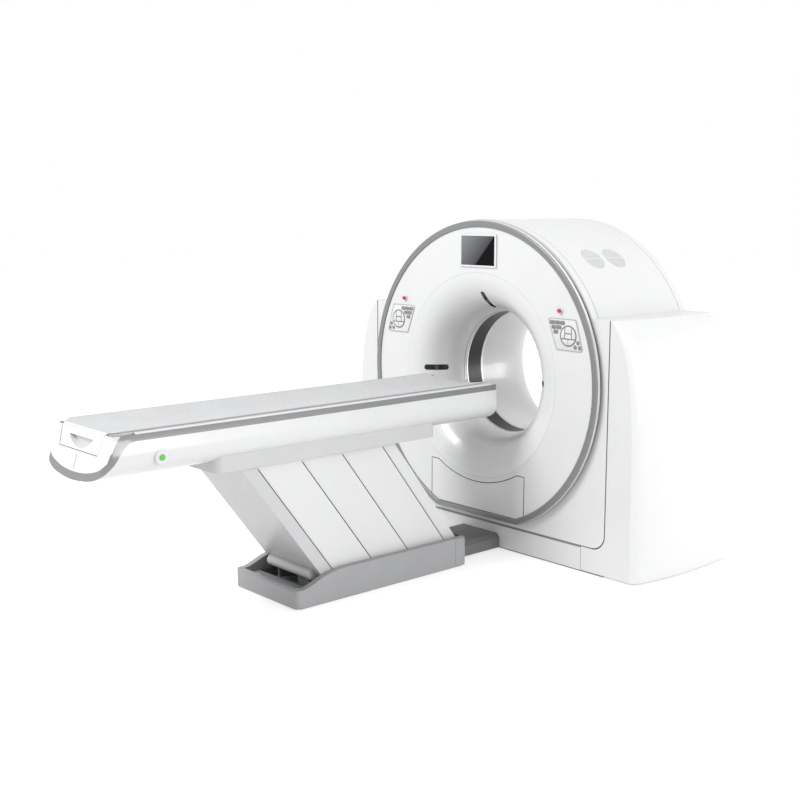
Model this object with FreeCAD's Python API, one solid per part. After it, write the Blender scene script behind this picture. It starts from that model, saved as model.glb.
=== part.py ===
import FreeCAD, Part
import os
from math import acos, atan2, cos, radians, sin, sqrt

# A computed tomography scanner: a gantry with a round patient bore, and a patient couch on a folding column.
# Millimetres. The origin is on the floor, straight below the centre of the scan plane. +Z is up, +Y runs along
# the bore axis away from the couch, and +X is to the right of someone who looks into the bore from the couch.

V = FreeCAD.Vector

# ---- gantry sizes ----
ISO_Z = 1000.0  # bore axis above the floor
BORE_R = 360.0  # patient bore
FACE_Y = -337.0  # front face of the round disc
COVER_Y = -301.0  # lower front cover, set back behind the disc
REAR_Y = 520.0  # rear face
FACE_R = 850.0  # white face of the disc
TRIM_R = 887.0  # outer edge of the grey trim ring
TRIM_PROUD = 8.0  # how far the trim stands in front of the disc
SHELL_R = 895.0  # round head
FLAT_Z = 177.0  # flat at the bottom of the trim
FACE_FLAT = 208.0  # flat at the bottom of the disc's white face
COVER_HALF = 924.0  # half width of the lower front and rear covers
COVER_LOW = 148.0  # lowest edge of the front cover
COVER_CORNER = 80.0
TOWER_TOP = 1382.0  # flat top of the side covers
TOWER_GAP = 10.0  # side covers above the floor
COVER_DEPTH = 49.0  # depth of the front and rear covers' flanges
WALL = 4.0  # moulded cover wall
SEAM = 3.0  # gap between covers
GROOVE = 7.0  # dark gap round the front cover
SEAT = 0.3  # gap between a piece and what carries it
SKIRT_HALF = 767.0  # panel under the front cover
SKIRT_LOW = 8.0
HATCH_HALF = 378.0  # service hatch in the lower part of the disc
HATCH_TOP = 462.0
HATCH_ARC = 625.0  # the hatch's upper edge goes round the funnel at this radius
HATCH_GAP = 2.5
FUNNEL_DEPTH = 255.0
FUNNEL_MOUTH = 595.0
THROAT_Y = FACE_Y + FUNNEL_DEPTH  # front of the throat
BAND_Y = (-55.0, 55.0)  # scan window
TUNNEL_Y = 80.0  # rear end of the throat
REAR_MOUTH = 442.0
LASER_ARC = (25.8, 61.4)  # where a laser window starts and ends on the funnel's quarter ellipse, in degrees
LASER_HALF = 16.5
GRILLE_R = 76.0
GRILLE_TILT = 40.3  # degrees from straight up towards +X
GRILLE_Y = (-29.0, 153.0)
DISPLAY_HALF = 145.0
DISPLAY_Z = (ISO_Z + 625.0, ISO_Z + 811.0)
STOP_AT = (621.0, ISO_Z + 416.0)  # emergency stop, x and z
STOP_R = 11.0
PANEL = ((532.0, ISO_Z + 375), (731.0, ISO_Z + 375), (782.0, ISO_Z + 204), (597.0, ISO_Z + 204))
DIAL_AT = (680.0, ISO_Z + 284)
ANCHOR_X = 780.0  # floor anchors
ANCHOR_Y = (-150.0, 350.0)
ANCHOR_R = 10.0
SOLE = 12.0  # floor plate
BEAM = 60.0  # width of the base's beams
BEAM_TOP = 90.0

# ---- rotor sizes ----
PLATE_R = 700.0  # rotor plate and its belt groove
PLATE_Y = (90.0, 130.0)
STATOR_Y = (200.0, 240.0)
STATOR_R = (470.0, 760.0)
BEARING_R = 497.5  # ball circle
RACE_WIDE = 50.0  # how far a bearing ring reaches from the ball circle
BALL_R = 12.0
BALLS = 48
SLIP_Y = (262.0, 290.0)  # slip ring disc
BRUSH_Y = 330.0
TUBE_AT = 620.0  # X-ray tube's distance from the bore axis
PULLEY_R = 60.0
MOTOR_SHAFT = 18.0
MOTOR_R = 85.0
MOTOR_Y = (150.0, 380.0)
MOTOR_AT = (860.0, 430.0)  # motor shaft, x and z

# ---- couch sizes ----
COUCH_HALF = 262.0  # half width at the top edge
BODY_FRONT = -2862.0  # foot end
BODY_BACK = -447.0  # gantry end
BODY_TOP = 990.0
BODY_LOW = 776.0
BODY_WALL = 5.0
STRIPE_LOW = 960.0  # lower edge of the grey stripe
FOOT_LEAN = 0.323  # how far the foot end leans back, per unit of height
END_CORNER = (45.0, 55.0)  # rounding of the body's ends seen from above: across and along
# The grey band's upper and lower edge at the foot, seen from the side, measured from the foot end.
BAND_UPPER = ((117, 1020), (100, 990), (80, 968), (60, 940), (43, 912), (30, 880), (18, 840), (6, 800),
              (-38, 760))
BAND_LOWER = ((172, 960), (137, 955), (110, 935), (82, 905), (58, 870), (32, 838), (12, 810), (-5, 776),
              (-8, 740))
# The white end cap's lower edge, seen from the foot.
CAP_EDGE = ((0, 811), (60, 813), (118, 819), (179, 832), (230, 850), (260, 874), (290, 925), (310, 1020))
CRADLE_HALF = 243.0
CRADLE_Y = (BODY_FRONT + 75, BODY_BACK - 60)
CRADLE_EDGE = 1000.0  # top of the cradle's raised edges
CRADLE_SKIN = 12.0  # thickness of its edge
HOLLOW = 22.0  # depth of the cradle's hollow
BELLY = 38.0  # depth of its rounded underside
PAD_THICK = 10.0
CHANNEL_HALF = CRADLE_HALF - 35
CHANNEL_FLOOR = 889.0
SHOULDER = 953.0  # the channel's shoulders, on which the cradle's runners slide
GLIDE_X = (CRADLE_HALF - 31, CRADLE_HALF - 19)
RUNNER_X = (CRADLE_HALF - 16, CRADLE_HALF - 3)
DRIVE_TALL = 9.0
TAIL_LOW = 902.0
TAIL_HALF = CRADLE_HALF - 66
TAIL_FLARE = 0.25  # how far each side of the tail leans out, per unit of height
RECESS_R = 153.0  # finger recess: a slice of this round
RECESS_Z = (909.7, 960.0)
RECESS_Y = BODY_FRONT + 67  # back of the finger recess
BUTTON_Y = BODY_FRONT + 285
BUTTON_Z = 877.0
BUTTON_R = 14.0

# ---- lift column ----
PIVOT_LOW = 130.0
PIVOT_HIGH = 787.0
LEAN = 0.762  # how far the column leans towards the foot, per unit of height
COLUMN_FRONT = -1659.0  # column front face at the height of the lower pivots
FRONT_PIVOT = 60.0  # pivots, measured back from the column front
SLAT_PIVOTS = (151.0, 475.0, 760.0)
REAR_PIVOT = 907.0
SLAT_EDGES = ((71.0, 347.0), (335.0, 603.0), (591.0, 875.0))
FRONT_FLANGE = 83.0
REAR_FLANGE = (863.0, 967.0)
SLAT_X = 221.0  # inner face of the outermost slat
SLAT_PITCH = 5.0
SLAT_LOW = 116.0
COVER_BOTTOM = 112.0
COVER_TOP = 775.0
REAR_BOTTOM = 150.0
RIB_Z = (330.0, 590.0)
ROLL_R = 28.0
SHEET = 4.0
ARM = (165.0, 177.0)
LUG = (182.0, 194.0)
LUG_HALF = 28.0
ARM_WIDE = 47.0
SHAFT_R = 20.0
PIN_R = 6.0
RUNNING = 0.05  # shaft clearance
LINK_SINE = 1 / sqrt(1 + LEAN**2)

# ---- couch base and saddle ----
TABLE_RAIL = (140.0, 200.0)
RAIL_Z = (825.0, 885.0)
COLUMN_CLEAR = 236.0  # half width of the opening above the column
COLUMN_TOP = COLUMN_FRONT - LEAN * (COVER_TOP - PIVOT_LOW)  # where the column enters the couch
WELL_Y = (COLUMN_TOP - 9, COLUMN_TOP + REAR_FLANGE[1] + 99)  # the opening above the column
SADDLE_HALF = 250.0
SADDLE = (WELL_Y[0] - 120, WELL_Y[1] + 186)
SADDLE_LOW = 750.0
SADDLE_CORNER = 40.0
BASE_HALF = 269.0
BASE_INNER = 234.0
BASE_FRONT = COLUMN_FRONT - 188
BASE_SEAM = COLUMN_FRONT + 897
BASE_BACK = COLUMN_FRONT + 987
BASE_TOP = 162.0
BASE_WALL = 5.0
BASE_GAP = 4.0  # base cover and duct above the floor
BASE_PLATE = 20.0
# The base cover's top edge from the front rim up to the deck: distance behind the front and height.
BASE_RISE = ((0, 88), (10, 97), (57, 99), (92, 110), (157, 136), (207, 150), (257, 158), (307, BASE_TOP))
COUCH_ANCHOR_X = 140.0
COUCH_ANCHOR_Y = (-1560.0, -840.0)
GEARBOX_R = 40.0
BRIDGE_HALF = 160.0
BRIDGE_EDGE = 62.0  # height of the duct's upright sides
BRIDGE_TOP = 86.0


# ---- helpers ----
def box(x0, x1, y0, y1, z0, z1):
    return Part.makeBox(x1 - x0, y1 - y0, z1 - z0, V(x0, y0, z0))


def rod(start, end, radius):
    start, end = V(*start), V(*end)
    return Part.makeCylinder(radius, (end - start).Length, start, end - start)


def tube(start, end, inner, outer):
    return rod(start, end, outer).cut(rod(start, end, inner))


def bore_disc(radius, y0, y1):
    return rod((0, y0, ISO_Z), (0, y1, ISO_Z), radius)


def bore_ring(inner, outer, y0, y1):
    return bore_disc(outer, y0, y1).cut(bore_disc(inner, y0, y1))


def prism(points, push):
    """A closed polygon of corner points, pushed along a vector."""
    wire = Part.makePolygon([V(*p) for p in points] + [V(*points[0])])
    return Part.Face(wire).extrude(V(*push))


def mirrored(shape):
    return shape.mirror(V(0, 0, 0), V(1, 0, 0))


def both(shape):
    return [shape, mirrored(shape)]


def solids(shapes):
    found = []
    for shape in shapes:
        found += shape.Solids
    return found


def save(name, *shapes):
    """One node: its separate solids in one file."""
    found = solids(shapes)
    whole = found[0] if len(found) == 1 else Part.makeCompound(found)
    whole.exportStep(f"parts/{name}.step")
    state = "ok" if whole.isValid() else "INVALID"
    print(name, len(found), "solid(s)", state, round(whole.Volume / 1000), "cm3")


def edges_where(shape, test):
    return [e for e in shape.Edges if test([v.Point for v in e.Vertexes])]


def polar(angle, radius, y=0.0):
    """A point about the bore axis. The angle is in degrees from straight up towards +X."""
    return (radius * sin(radians(angle)), y, ISO_Z + radius * cos(radians(angle)))


def turned(shape, angle):
    """Turn a shape modelled straight above the bore axis towards +X."""
    copy = shape.copy()
    copy.rotate(V(0, 0, ISO_Z), V(0, 1, 0), angle)
    return copy


# ---- gantry covers ----
def flat_disc(radius, flat_z, y0, y1):
    """A slab about the bore axis with a flat at the bottom."""
    return bore_disc(radius, y0, y1).common(box(-radius, radius, y0, y1, flat_z, ISO_Z + radius))


def cover_block(inset, low, y0, y1):
    """The gantry's outline from the front: a wide body with rounded lower corners under a round head."""
    half, foot, top = COVER_HALF - inset, low + inset, TOWER_TOP - inset
    body = box(-half, half, y0, y1, foot, top)
    corners = edges_where(body, lambda p: abs(p[0].z - foot) + abs(p[1].z - foot) < 0.01
                          and abs(p[0].y - p[1].y) > 1)
    body = body.makeFillet(max(COVER_CORNER - inset, 1.0), corners)
    head = bore_disc(SHELL_R - inset, y0, y1).common(box(-SHELL_R, SHELL_R, y0, y1, ISO_Z, ISO_Z + SHELL_R))
    return body.fuse(head).removeSplitter()


def front_cover():
    tray = cover_block(0, COVER_LOW, COVER_Y, COVER_Y + COVER_DEPTH)
    tray = tray.cut(cover_block(WALL, COVER_LOW, COVER_Y + WALL, COVER_Y + COVER_DEPTH + 1))
    hole = flat_disc(TRIM_R - 12, FLAT_Z + 12, COVER_Y - 1, COVER_Y + WALL + 1)
    lip_out = SHELL_R - WALL
    lip = bore_ring(lip_out - 4, lip_out - 0.4, COVER_Y + WALL, COVER_Y + COVER_DEPTH + 20)
    lip = lip.fuse(bore_ring(lip_out - 1, lip_out + 1, COVER_Y + WALL, COVER_Y + COVER_DEPTH - 5))
    lip = lip.common(box(-SHELL_R, SHELL_R, COVER_Y, COVER_Y + 100, TOWER_TOP, ISO_Z + SHELL_R))
    return tray.cut(hole).fuse(lip).removeSplitter()


def meridian(points):
    """Points given as radius and y become points beside the bore axis."""
    return [V(r, y, ISO_Z) for r, y in points]


def quarter(centre_r, centre_y, half_r, half_y, steps=12):
    """A quarter ellipse from the throat, along the axis, to the mouth, square to it."""
    spots = []
    for i in range(steps + 1):
        t = radians(90.0 * i / steps)
        spots.append((centre_r - half_r * cos(t), centre_y + half_y * sin(t)))
    return spots


def bell(throat, mouth, start_y, depth, wall):
    """A revolved bell mouth. depth is negative towards the couch."""
    away = 1 if depth > 0 else -1
    inner = quarter(mouth, start_y, mouth - throat, depth)
    outer = quarter(mouth, start_y, mouth - throat - wall, depth - away * wall)
    curves = []
    for spots in (inner, outer):
        curve = Part.BSplineCurve()
        curve.interpolate(meridian(spots))
        curves.append(curve.toShape())
    ends = [Part.makeLine(meridian([inner[i]])[0], meridian([outer[i]])[0]) for i in (0, -1)]
    wire = Part.Wire(Part.__sortEdges__(curves + ends))
    return Part.Face(wire).revolve(V(0, 0, ISO_Z), V(0, 1, 0), 360)


def funnel_point(angle):
    """A point on the funnel's wall, straight above the bore axis."""
    t = radians(angle)
    radius = FUNNEL_MOUTH - (FUNNEL_MOUTH - BORE_R - WALL) * cos(t)
    return V(0, THROAT_Y - FUNNEL_DEPTH * sin(t), ISO_Z + radius)


def laser_slot(grow):
    """A rounded bar square to the funnel wall, at twelve o'clock."""
    low, high = [funnel_point(angle) for angle in LASER_ARC]
    along = high - low
    along.normalize()
    across = V(1, 0, 0)
    deep = across.cross(along)
    half = LASER_HALF + grow
    ends = [low + along * LASER_HALF, high - along * LASER_HALF]
    out = across * half
    corners = [ends[0] - out, ends[1] - out, ends[1] + out, ends[0] + out]
    start = deep * -40
    bar = prism([tuple(c + start) for c in corners], tuple(deep * 80))
    for end in ends:
        bar = bar.fuse(Part.makeCylinder(half, 80, end + start, deep))
    return bar


def hatch_region(grow, y0, y1):
    """The service hatch seen from the front, grown all round: square below, hollowed above by the funnel."""
    half = HATCH_HALF + grow
    region = box(-half, half, y0, y1, FACE_FLAT + SEAT, HATCH_TOP + grow)
    return region.cut(bore_disc(HATCH_ARC - grow, y0 - 1, y1 + 1))


def gantry_face():
    """The round disc, its trim, gasket and hatch."""
    rim_deep, plate, ledge_wide = 18.0, 10.0, 10.0
    skin = plate - 6
    seat_r, seat_z = FACE_R - SEAT, FACE_FLAT + SEAT
    disc = flat_disc(TRIM_R + 1, FLAT_Z - 1, FACE_Y, FACE_Y + rim_deep)
    disc = disc.cut(flat_disc(TRIM_R + 1 - WALL, FLAT_Z + 3, FACE_Y + plate, FACE_Y + rim_deep + 1))
    disc = disc.cut(bore_disc(FUNNEL_MOUTH + 0.8, FACE_Y - 1, FACE_Y + rim_deep + 1))
    disc = disc.cut(flat_disc(FACE_R, FACE_FLAT, FACE_Y + skin, FACE_Y + plate))
    trim = flat_disc(TRIM_R, FLAT_Z, FACE_Y - TRIM_PROUD, FACE_Y + 6)
    trim = trim.cut(flat_disc(FACE_R, FACE_FLAT, FACE_Y - TRIM_PROUD - 1, FACE_Y + 7))
    front = edges_where(trim, lambda p: all(abs(q.y - FACE_Y + TRIM_PROUD) < 0.01 for q in p))
    trim = trim.makeFillet(TRIM_PROUD - 1, front)
    bed = flat_disc(TRIM_R + SEAT, FLAT_Z - SEAT, FACE_Y - 1, FACE_Y + 6)
    disc = disc.cut(bed.cut(flat_disc(seat_r, seat_z, FACE_Y - 2, FACE_Y + 7)))
    hatch = disc.common(hatch_region(0, FACE_Y - 1, FACE_Y + skin - SEAT))
    disc = disc.cut(hatch_region(HATCH_GAP, FACE_Y - 1, FACE_Y + plate).common(
        flat_disc(seat_r, seat_z, FACE_Y - 1, FACE_Y + plate)))
    ledge = hatch_region(ledge_wide, FACE_Y + skin, FACE_Y + plate)
    ledge = ledge.cut(hatch_region(-ledge_wide, FACE_Y, FACE_Y + plate + 1))
    ledge = ledge.common(flat_disc(seat_r, seat_z, FACE_Y, FACE_Y + plate + 1))
    disc = disc.fuse(ledge).removeSplitter()
    gasket = flat_disc(TRIM_R - 10, FLAT_Z + 10, FACE_Y + plate, COVER_Y)
    gasket = gasket.cut(flat_disc(TRIM_R - 30, FLAT_Z + 30, FACE_Y + plate - 1, COVER_Y + 1))
    save("front_disc", disc)
    save("disc_trim", trim)
    save("service_hatch", hatch)
    save("disc_gasket", gasket)


def bore_lining():
    """Funnel with its laser windows, scan window and rear tunnel."""
    angles = (0, 90, -90)
    funnel = bell(BORE_R + WALL, FUNNEL_MOUTH, THROAT_Y, -FUNNEL_DEPTH, WALL)
    glasses = [turned(laser_slot(0).common(funnel), angle) for angle in angles]
    for angle in angles:
        funnel = funnel.cut(turned(laser_slot(SEAT), angle))
    rim = bore_ring(BORE_R, BORE_R + 2 * WALL, THROAT_Y, BAND_Y[0])
    save("funnel", funnel.fuse(rim).removeSplitter())
    save("laser_windows", *glasses)
    save("scan_window", bore_ring(BORE_R + 1, BORE_R + 3, BAND_Y[0], BAND_Y[1]))
    tunnel = bell(BORE_R, REAR_MOUTH, TUNNEL_Y, REAR_Y - TUNNEL_Y, WALL)
    rim = bore_ring(BORE_R, BORE_R + WALL, BAND_Y[1], TUNNEL_Y)
    save("rear_tunnel", tunnel.fuse(rim).removeSplitter())


def tower_curve(points):
    curve = Part.BSplineCurve()
    curve.interpolate([V(*p) for p in points])
    return curve


def tower_side(inset):
    """A tower's outer side: an upright profile carried along a bulged plan line, by adding their poles."""
    upright = [(1101, 0, TOWER_GAP), (1091, 0, 428), (1085, 0, 811), (1061, 0, 1057), (1031, 0, 1202),
               (984, 0, 1317), (935, 0, TOWER_TOP)]
    long = REAR_Y - COVER_Y
    plan = [(0, 0.0), (12, 0.006), (22, 0.018), (31, 0.043), (50, 0.16), (68, 0.34), (73, 0.64), (62, 0.9),
            (50, 0.975), (38, 1.0)]
    c = tower_curve([(x - inset, y, z) for x, y, z in upright])
    d = tower_curve([(x, COVER_Y + long * s, 0) for x, s in plan])
    poles = [[p + q for q in d.getPoles()] for p in c.getPoles()]
    surface = Part.BSplineSurface()
    surface.buildFromPolesMultsKnots(poles, c.getMultiplicities(), d.getMultiplicities(),
                                     c.getKnots(), d.getKnots(),
                                     False, False, c.Degree, d.Degree)
    return surface.toShape()


def side_cover():
    """The right tower: outer side, top, front and rear walls, open to the inside and to the floor."""
    reach = 1300.0
    inner_x = SHELL_R * cos(atan2(TOWER_TOP - ISO_Z, SHELL_R)) - 130
    outer = tower_side(0).extrude(V(-reach, 0, 0))
    outer = outer.common(box(inner_x, reach, COVER_Y, REAR_Y, TOWER_GAP, TOWER_TOP))
    inner = tower_side(WALL).extrude(V(-reach, 0, 0))
    inner = inner.common(box(inner_x - 50, reach, COVER_Y + WALL, REAR_Y - WALL,
                             TOWER_GAP - 5, TOWER_TOP - WALL))
    shell = outer.cut(inner)
    shell = shell.cut(bore_disc(SHELL_R + 0.7, COVER_Y - 1, REAR_Y + 1))
    front = cover_block(-GROOVE, COVER_LOW, COVER_Y - 1, COVER_Y + COVER_DEPTH + SEAM)
    shell = shell.cut(front.common(box(-reach, reach, COVER_Y - 1, 0, 0, TOWER_TOP + 1)))
    rear = cover_block(-SEAM, SKIRT_LOW, REAR_Y - COVER_DEPTH - SEAM, REAR_Y + 1)
    shell = shell.cut(rear)
    lower = box(-SKIRT_HALF - SEAM, SKIRT_HALF + SEAM, COVER_Y - 1, COVER_Y + COVER_DEPTH,
                0, COVER_LOW - GROOVE + 1)
    shell = shell.cut(lower)
    return max(shell.Solids, key=lambda solid: solid.Volume)


def grille_slots(y):
    """Parallel slots that fill a circle in the top of the round shell, with a bar left down the middle."""
    pitch, wide, bar = 10.0, 4.0, 2.5
    count = int(GRILLE_R / pitch)
    slots = []
    for i in range(-count, count + 1):
        half = sqrt(GRILLE_R**2 - (i * pitch) ** 2)
        for start, end in ((-half, -bar), (bar, half)):
            middle = y + i * pitch
            slots.append(box(start, end, middle - wide / 2, middle + wide / 2, SHELL_R - 45 + ISO_Z,
                             SHELL_R + 55 + ISO_Z))
    return slots


def rear_cover():
    rear = cover_block(0, SKIRT_LOW, REAR_Y - COVER_DEPTH, REAR_Y)
    rear = rear.cut(cover_block(WALL, SKIRT_LOW, REAR_Y - COVER_DEPTH - 1, REAR_Y - WALL))
    rear = rear.cut(bore_disc(REAR_MOUTH + SEAT, REAR_Y - COVER_DEPTH, REAR_Y + 1))
    rear = rear.cut(box(-COVER_HALF - 1, COVER_HALF + 1, REAR_Y - COVER_DEPTH - 1, REAR_Y - WALL, 0,
                         BEAM_TOP + 5))
    lip_out = SHELL_R - WALL
    lip = bore_ring(lip_out - 4, lip_out - 0.4, REAR_Y - COVER_DEPTH - 20, REAR_Y - WALL)
    lip = lip.fuse(bore_ring(lip_out - 1, lip_out + 1, REAR_Y - COVER_DEPTH + 5, REAR_Y - WALL))
    lip = lip.common(box(-SHELL_R, SHELL_R, REAR_Y - 100, REAR_Y, TOWER_TOP, ISO_Z + SHELL_R))
    return rear.fuse(lip).removeSplitter()


def gantry_shells():
    save("front_cover", front_cover())
    save("rear_cover", rear_cover())
    shell = bore_ring(SHELL_R - WALL, SHELL_R, COVER_Y + COVER_DEPTH + SEAM, REAR_Y - COVER_DEPTH - SEAM)
    shell = shell.common(box(-SHELL_R, SHELL_R, COVER_Y, REAR_Y, TOWER_TOP - 40, ISO_Z + SHELL_R))
    for y in GRILLE_Y:
        shell = shell.cut(turned(Part.makeCompound(grille_slots(y)), GRILLE_TILT))
    save("top_shell", shell)
    cover = side_cover()
    save("side_cover_right", cover)
    save("side_cover_left", mirrored(cover))
    skirt_top = COVER_LOW - GROOVE - 7
    save("front_skirt", box(-SKIRT_HALF, SKIRT_HALF, COVER_Y, COVER_Y + WALL, SKIRT_LOW, skirt_top))


def gantry_controls():
    """What is mounted on the round disc: display, emergency stops and control panels."""
    (low, high), half = DISPLAY_Z, DISPLAY_HALF
    bezel = box(-half, half, FACE_Y - 8, FACE_Y - SEAT, low, high)
    ring = edges_where(bezel, lambda p: abs(p[0].y - p[1].y) > 1)
    bezel = bezel.makeFillet(6, ring)
    bezel = bezel.cut(box(-half + 13, half - 13, FACE_Y - 9, FACE_Y - 3, low + 10, high - 10))
    save("display_bezel", bezel)
    save("display_screen", box(-half + 13.3, half - 13.3, FACE_Y - 6.5, FACE_Y - 3, low + 10.3, high - 10.3))
    stop_x, stop_z = STOP_AT
    shank = STOP_R - 4
    collars = []
    for side, x in (("left", -stop_x), ("right", stop_x)):
        collars.append(tube((x, FACE_Y - 6, stop_z), (x, FACE_Y - SEAT, stop_z), shank + SEAT, STOP_R + 5))
        button = rod((x, FACE_Y - 20, stop_z), (x, FACE_Y - 12, stop_z), STOP_R)
        button = button.makeFillet(3, edges_where(button, lambda p: abs(p[0].y - FACE_Y + 20) < 0.01))
        button = button.fuse(rod((x, FACE_Y - 13, stop_z), (x, FACE_Y - SEAT - 5.5, stop_z), shank))
        save(f"stop_button_{side}", button)
    save("stop_collars", *collars)
    save("control_panels", *both(control_panel()))


def control_panel():
    """The right panel: a slanted plate, rows of small keys, a round dial pad and three round keys."""
    top = FACE_Y - 3
    plate = prism([(x, FACE_Y - SEAT, z) for x, z in PANEL], (0, -3 + SEAT, 0))
    upright = edges_where(plate, lambda p: abs(p[0].y - p[1].y) > 1)
    plate = plate.makeFillet(14, upright)
    keys = []
    pitch_x, pitch_z, wide, tall, dial_r, line, arm_half = 36.0, 25.0, 31.0, 20.0, 57.0, 1.5, 19.0
    for row in range(3):
        for column in range(3 - row):
            x = PANEL[0][0] + 34 + column * pitch_x + row * 13
            z = PANEL[0][1] - 23 - row * pitch_z
            keys.append(box(x - wide / 2, x + wide / 2, top - 2, top + 1, z - tall / 2, z + tall / 2))
    x, z = DIAL_AT
    pad = rod((x, top - 1.5, z), (x, top + 1, z), dial_r)
    for s in (-arm_half, arm_half):
        pad = pad.cut(box(x - dial_r, x + dial_r, top - 3, top - 0.5, z + s - line, z + s + line))
        pad = pad.cut(box(x + s - line, x + s + line, top - 3, top - 0.5, z - arm_half, z + dial_r))
    keys.append(pad)
    for dx, dz in ((68, -32), (49, -57), (80, -58)):
        keys.append(rod((x + dx, top - 2, z + dz), (x + dx, top + 1, z + dz), 11))
    for key in keys:
        plate = plate.fuse(key)
    return plate.removeSplitter()


# ---- gantry inside ----
def gantry_frame():
    front, back = COVER_Y + WALL + SEAT, REAR_Y - WALL - SEAT
    half = COVER_HALF - WALL - SEAT
    frame = box(-half, half, front, back, 0, SOLE)
    wide = half - COVER_CORNER
    frame = frame.fuse(box(-wide, wide, front, front + BEAM, SOLE, COVER_LOW - SEAT))
    frame = frame.fuse(box(-half, half, back - BEAM, back, SOLE, BEAM_TOP))
    for beam in both(box(STATOR_R[1] - BEAM, STATOR_R[1], front + BEAM, back - BEAM, SOLE, BEAM_TOP)):
        frame = frame.fuse(beam)
    for x in (-ANCHOR_X, ANCHOR_X):
        for y in ANCHOR_Y:
            frame = frame.cut(rod((x, y, -1), (x, y, SOLE + 1), ANCHOR_R))
    for outrigger in both(box(half, 1040, -60, 260, 0, 40)):
        frame = frame.fuse(outrigger)
    save("gantry_base", frame.removeSplitter())
    stator = bore_ring(*STATOR_R, *STATOR_Y)
    leg = box(430, 640, STATOR_Y[0], STATOR_Y[1], SOLE, 560)
    leg = leg.fuse(box(410, 660, STATOR_Y[0] - 60, STATOR_Y[1] + 60, SOLE, SOLE + 30))
    for side in both(leg):
        stator = stator.fuse(side.cut(bore_disc(STATOR_R[0], 0, 400)))
    save("stator", stator.removeSplitter())


def races():
    """The main bearing: fixed outer ring, turning inner ring and their balls."""
    y0, y1 = PLATE_Y[1], STATOR_Y[0]
    middle = y0 + 35
    gap = BALL_R * 0.625
    groove = Part.makeTorus(BEARING_R, BALL_R + SEAT, V(0, middle, ISO_Z), V(0, 1, 0))
    outer = bore_ring(BEARING_R + gap, BEARING_R + RACE_WIDE, y0 + 10, y1).cut(groove)
    inner = bore_ring(BEARING_R - RACE_WIDE, BEARING_R - gap, y0, y1 - 10).cut(groove)
    balls = []
    for i in range(BALLS):
        x, y, z = polar(360.0 * i / BALLS, BEARING_R, middle)
        balls.append(Part.makeSphere(BALL_R, V(x, y, z)))
    save("bearing_outer_ring", outer)
    save("bearing_inner_ring", inner, *balls)


def mounted(angle, r0, r1, wide, y0, y1):
    """A box on the rotor plate at an angle from straight up."""
    return turned(box(-wide / 2, wide / 2, y0, y1, ISO_Z + r0, ISO_Z + r1), angle)


def rotor():
    y0, y1 = PLATE_Y
    plate = bore_ring(BEARING_R - RACE_WIDE, PLATE_R + 8, y0, y1)
    plate = plate.cut(bore_ring(PLATE_R, PLATE_R + 9, y0 + 5, y1 - 5))
    for i in range(12):
        x, _, z = polar(30.0 * i + 15, 610)
        plate = plate.cut(rod((x, y0 - 1, z), (x, y1 + 1, z), 40))
    save("rotor_plate", plate)
    tube_z = ISO_Z + TUBE_AT
    housing = rod((0, -150, tube_z), (0, y0, tube_z), 105)
    housing = housing.fuse(rod((0, -175, tube_z), (0, -150, tube_z), 60))
    housing = housing.fuse(rod((0, -20, ISO_Z + 505), (0, -20, ISO_Z + 560), 34))
    save("xray_tube", housing)
    collimator = box(-95, 95, -60, 50, ISO_Z + 420, ISO_Z + 505)
    collimator = collimator.cut(box(-60, 60, -20, 10, ISO_Z + 400, ISO_Z + 520))
    bracket = box(-95, 95, 50, y0, ISO_Z + 440, ISO_Z + 500)
    save("collimator", collimator.fuse(bracket).removeSplitter())
    save("high_voltage_generator", mounted(95, 480, 760, 260, -170, y0))
    save("counterweight", mounted(-95, 480, 740, 240, -140, y0))
    arc = bore_ring(480, 590, -70, 60)
    arc = arc.common(prism([(0, -80, ISO_Z), (-520, -80, ISO_Z - 900), (520, -80, ISO_Z - 900)], (0, 200, 0)))
    foot = bore_ring(500, 580, 60, y0)
    foot = foot.common(prism([(0, 50, ISO_Z), (-400, 50, ISO_Z - 900), (400, 50, ISO_Z - 900)], (0, 200, 0)))
    save("detector", arc.fuse(foot).removeSplitter())
    hub = BEARING_R - RACE_WIDE + 1
    ring = bore_ring(hub, hub + 18, STATOR_Y[0] - 10, SLIP_Y[0]).fuse(bore_ring(hub, 640, *SLIP_Y))
    save("slip_ring", ring.removeSplitter())
    brush = box(-60, 60, SLIP_Y[1] + SEAT, BRUSH_Y, ISO_Z + 520, ISO_Z + 690)
    brush = brush.fuse(box(-60, 60, STATOR_Y[1], BRUSH_Y, ISO_Z + 650, ISO_Z + 690))
    save("brush_block", turned(brush, -25))


def belt_outline(grow, y0, y1):
    """The area that a belt round the rotor plate and the motor pulley encloses."""
    mx, mz = MOTOR_AT
    big, small = PLATE_R + grow, PULLEY_R + grow
    dx, dz = mx, mz - ISO_Z
    far = sqrt(dx * dx + dz * dz)
    lean, swing = atan2(dz, dx), acos((big - small) / far)
    corners = []
    for cx, cz, r, side in ((0, ISO_Z, big, 1), (mx, mz, small, 1), (mx, mz, small, -1), (0, ISO_Z, big, -1)):
        a = lean + side * swing
        corners.append((cx + r * cos(a), y0, cz + r * sin(a)))
    hull = prism(corners, (0, y1 - y0, 0))
    return hull.fuse(bore_disc(big, y0, y1)).fuse(rod((mx, y0, mz), (mx, y1, mz), small))


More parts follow.
